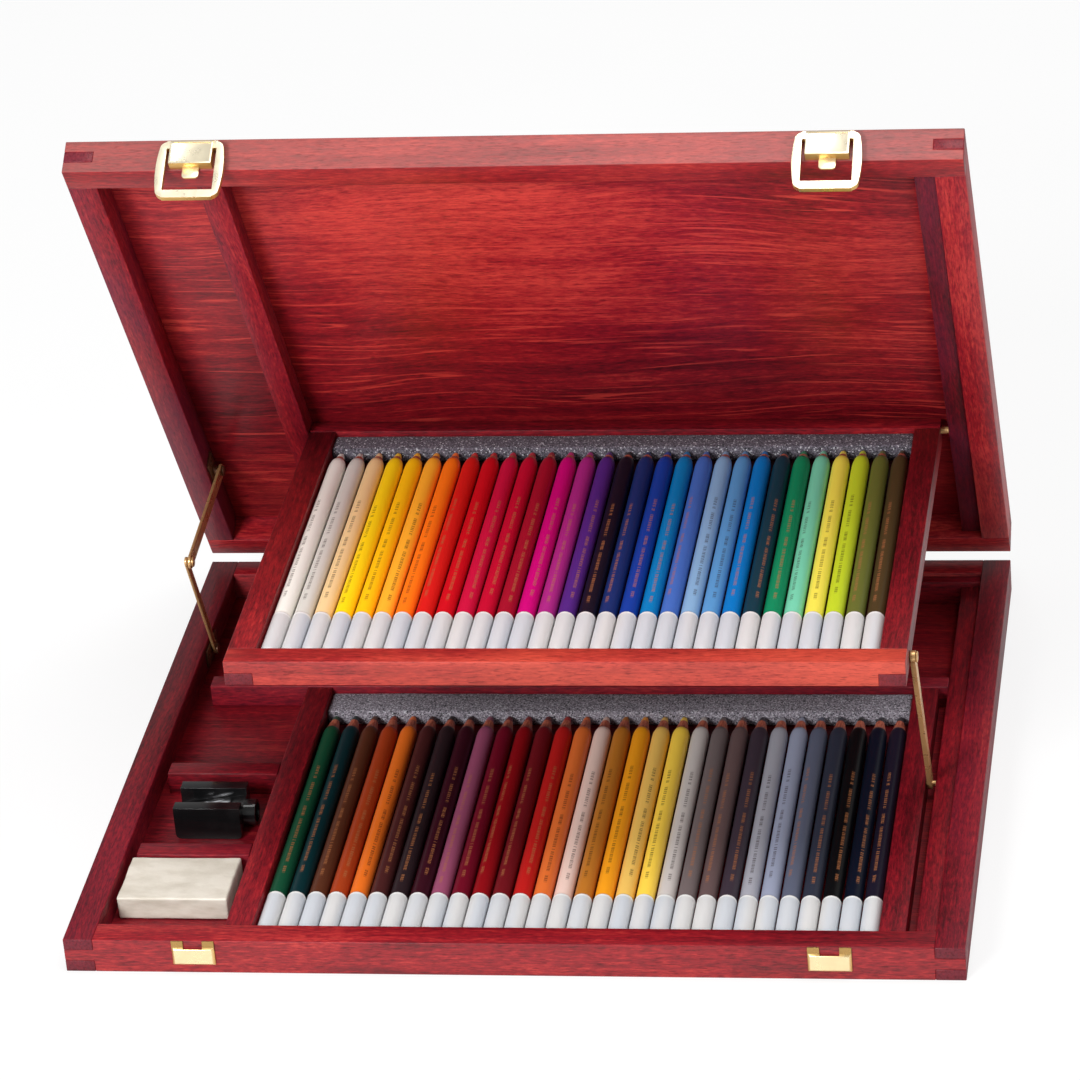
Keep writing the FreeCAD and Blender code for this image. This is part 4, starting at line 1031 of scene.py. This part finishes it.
class CASE_OT_eraser(bpy.types.Operator):
    """Kneaded eraser in a thin wrapper"""

    bl_idname = "pencil_case.eraser"
    bl_label = "Eraser"

    def execute(self, context):
        low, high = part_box("eraser")
        eraser = block("eraser_wrapped", low, high)
        eased(eraser, 0.9 * MM, 3)
        begin(eraser)
        bpy.ops.mesh.select_all(action="SELECT")
        bpy.ops.mesh.subdivide(number_cuts=5)
        end()
        modified(eraser, "SUBSURF", levels=1, render_levels=1)
        middle = (low + high) / 2
        for vertex in eraser.data.vertices:
            point = vertex.co.copy()
            crease = noise.noise(point * 120) * 0.3 + noise.noise(point * 420) * 0.14
            inward = (middle - point).normalized()
            vertex.co += inward * (0.3 + crease) * MM
            vertex.co.z = max(vertex.co.z, low.z)
        only(eraser)
        bpy.ops.object.shade_smooth()
        shader = Shader("eraser_wrapper", roughness=0.42, coat_weight=0.35, coat_roughness=0.2)
        place = shader.place()
        folds = shader.noise(shader.stretch(place, (90, 160, 260)), detail=4)
        fine = shader.noise(place, scale=700.0, detail=2)
        # Painted shade in the creases: the wrapper is darker where its folds sink
        colour = shader.ramp(folds, (0.3, srgb(194, 186, 171)), (0.6, srgb(214, 207, 194)))
        relief = shader.bump(folds * 0.8 + fine * 0.2, 0.5 * MM, 0.6)
        painted(eraser, shader.set(base_color=colour, normal=relief))
        stands_for(eraser, "eraser")
        return {"FINISHED"}


class CASE_OT_sharpener(bpy.types.Operator):
    """Black sharpener with two grip ears, its blade and screw"""

    bl_idname = "pencil_case.sharpener"
    bl_label = "Sharpener"

    def execute(self, context):
        gloss = Shader("black_plastic", specular_ior_level=0.45)
        wear = gloss.noise(gloss.place(), scale=120.0, detail=4)
        gloss.set(base_color=gloss.mix(gloss.range(wear, 0.4, 0.7), srgb(14, 14, 15),
                                       srgb(22, 21, 22)),
                  roughness=gloss.range(wear, 0.3, 0.7, 0.12, 0.24))
        body = softened("sharpener_body", 0.6 * MM, "plastic", 3, round_feet=2.4 * MM)
        painted(body, gloss.material)
        steel = Shader("sharpener_steel", metallic=1.0, roughness=0.2)
        marks = steel.noise(steel.stretch(steel.place(), (300, 4000, 300)), detail=2)
        tint = steel.ramp(marks, (0.3, srgb(168, 170, 174)), (0.7, srgb(214, 214, 218)))
        steel.set(base_color=tint, normal=steel.bump(marks, 0.02 * MM, 0.5))
        for node in ("sharpener_blade", "sharpener_screw"):
            painted(softened(node, 0.12 * MM, "steel"), steel.material)
        return {"FINISHED"}


class CASE_OT_stage(bpy.types.Operator):
    """Pale floor, soft lamps and the camera"""

    bl_idname = "pencil_case.stage"
    bl_label = "Stage"

    def execute(self, context):
        settings = context.scene.case_stage
        bpy.ops.object.select_all(action="DESELECT")
        bpy.ops.mesh.primitive_plane_add(size=24)
        floor = named(bpy.context.object, "floor")
        shader = Shader("pale_floor", roughness=0.9)
        paper = shader.noise(shader.place(), scale=3.0, detail=2)
        shader.set(base_color=shader.mix(shader.range(paper, 0.3, 0.7), srgb(236, 236, 236),
                                         srgb(240, 240, 240)))
        seen = shader.node("ShaderNodeLightPath", output="Is Camera Ray")
        glow = shader.node("ShaderNodeEmission", None, {"Color": (1, 1, 1, 1), "Strength": 1.0})
        paint = Value(shader, shader.surface.outputs[0])
        mixed = shader.node("ShaderNodeMixShader", None, {0: seen * FLOOR_GLOW, 1: paint, 2: glow})
        output = shader.tree.nodes["Material Output"]
        shader.tree.links.new(mixed.socket, output.inputs["Surface"])
        painted(floor, shader.material)

        world = bpy.data.worlds.new("studio")
        context.scene.world = world
        world.use_nodes = True
        sky = world.node_tree.nodes["Background"]
        sky.inputs["Color"].default_value = (1, 1, 1, 1)
        path = world.node_tree.nodes.new("ShaderNodeLightPath")
        level = world.node_tree.nodes.new("ShaderNodeMapRange")
        level.inputs["To Min"].default_value = SKY_LIGHT
        level.inputs["To Max"].default_value = 1.0
        world.node_tree.links.new(path.outputs["Is Camera Ray"], level.inputs["Value"])
        world.node_tree.links.new(level.outputs[0], sky.inputs["Strength"])

        middle = Vector((0, 0, 0.08))
        for name, where, size, power in LAMPS:
            data = bpy.data.lights.new(name, "AREA")
            data.size = size
            data.energy = power
            lamp = placed(name, data)
            lamp.location = where
            lamp.rotation_euler = (middle - Vector(where)).to_track_quat("-Z", "Y").to_euler()

        azimuth, elevation, roll = settings.azimuth, settings.elevation, settings.roll
        back = Vector((math.sin(azimuth) * math.cos(elevation),
                       -math.cos(azimuth) * math.cos(elevation), math.sin(elevation)))
        right = Vector((math.cos(azimuth), math.sin(azimuth), 0))
        up = back.cross(right)
        tilted_right = math.cos(roll) * right + math.sin(roll) * up
        tilted_up = -math.sin(roll) * right + math.cos(roll) * up
        data = bpy.data.cameras.new("camera")
        data.lens = settings.lens
        data.sensor_width = SENSOR_WIDTH
        data.clip_start = 0.1
        data.clip_end = 50.0
        camera = placed("camera", data)
        turn = Matrix((tilted_right, tilted_up, back)).transposed()
        eye = Vector(settings.target) + back * settings.distance
        camera.matrix_world = Matrix.Translation(eye) @ turn.to_4x4()
        context.scene.camera = camera
        context.scene.view_settings.view_transform = "Standard"
        return {"FINISHED"}


class CASE_PT_panel(bpy.types.Panel):
    """Lists the pieces of the pencil case"""

    bl_idname = "CASE_PT_panel"
    bl_label = "Pencil case"
    bl_space_type = "VIEW_3D"
    bl_region_type = "UI"
    bl_category = "Pencil case"

    def draw(self, context):
        for operator in OPERATORS:
            self.layout.operator(operator.bl_idname)


SETTINGS = {
    "case_wood": CaseWoodSettings,
    "case_pencils": CasePencilSettings,
    "case_brass": CaseBrassSettings,
    "case_stage": CaseStageSettings,
}
OPERATORS = (
    CASE_OT_stage, CASE_OT_boards, CASE_OT_lid, CASE_OT_tray, CASE_OT_foam, CASE_OT_pencils,
    CASE_OT_hinges, CASE_OT_stay, CASE_OT_clasps, CASE_OT_eraser, CASE_OT_sharpener,
)


def register():
    for kind in (*SETTINGS.values(), *OPERATORS, CASE_PT_panel):
        bpy.utils.register_class(kind)
    for name, kind in SETTINGS.items():
        setattr(bpy.types.Scene, name, bpy.props.PointerProperty(type=kind))


def unregister():
    for name in SETTINGS:
        delattr(bpy.types.Scene, name)
    for kind in (CASE_PT_panel, *reversed(OPERATORS), *SETTINGS.values()):
        bpy.utils.unregister_class(kind)


def main():
    """Build every piece."""
    register()
    for operator in OPERATORS:
        group, name = operator.bl_idname.split(".")
        getattr(getattr(bpy.ops, group), name)()


if __name__ == "__main__":
    main()
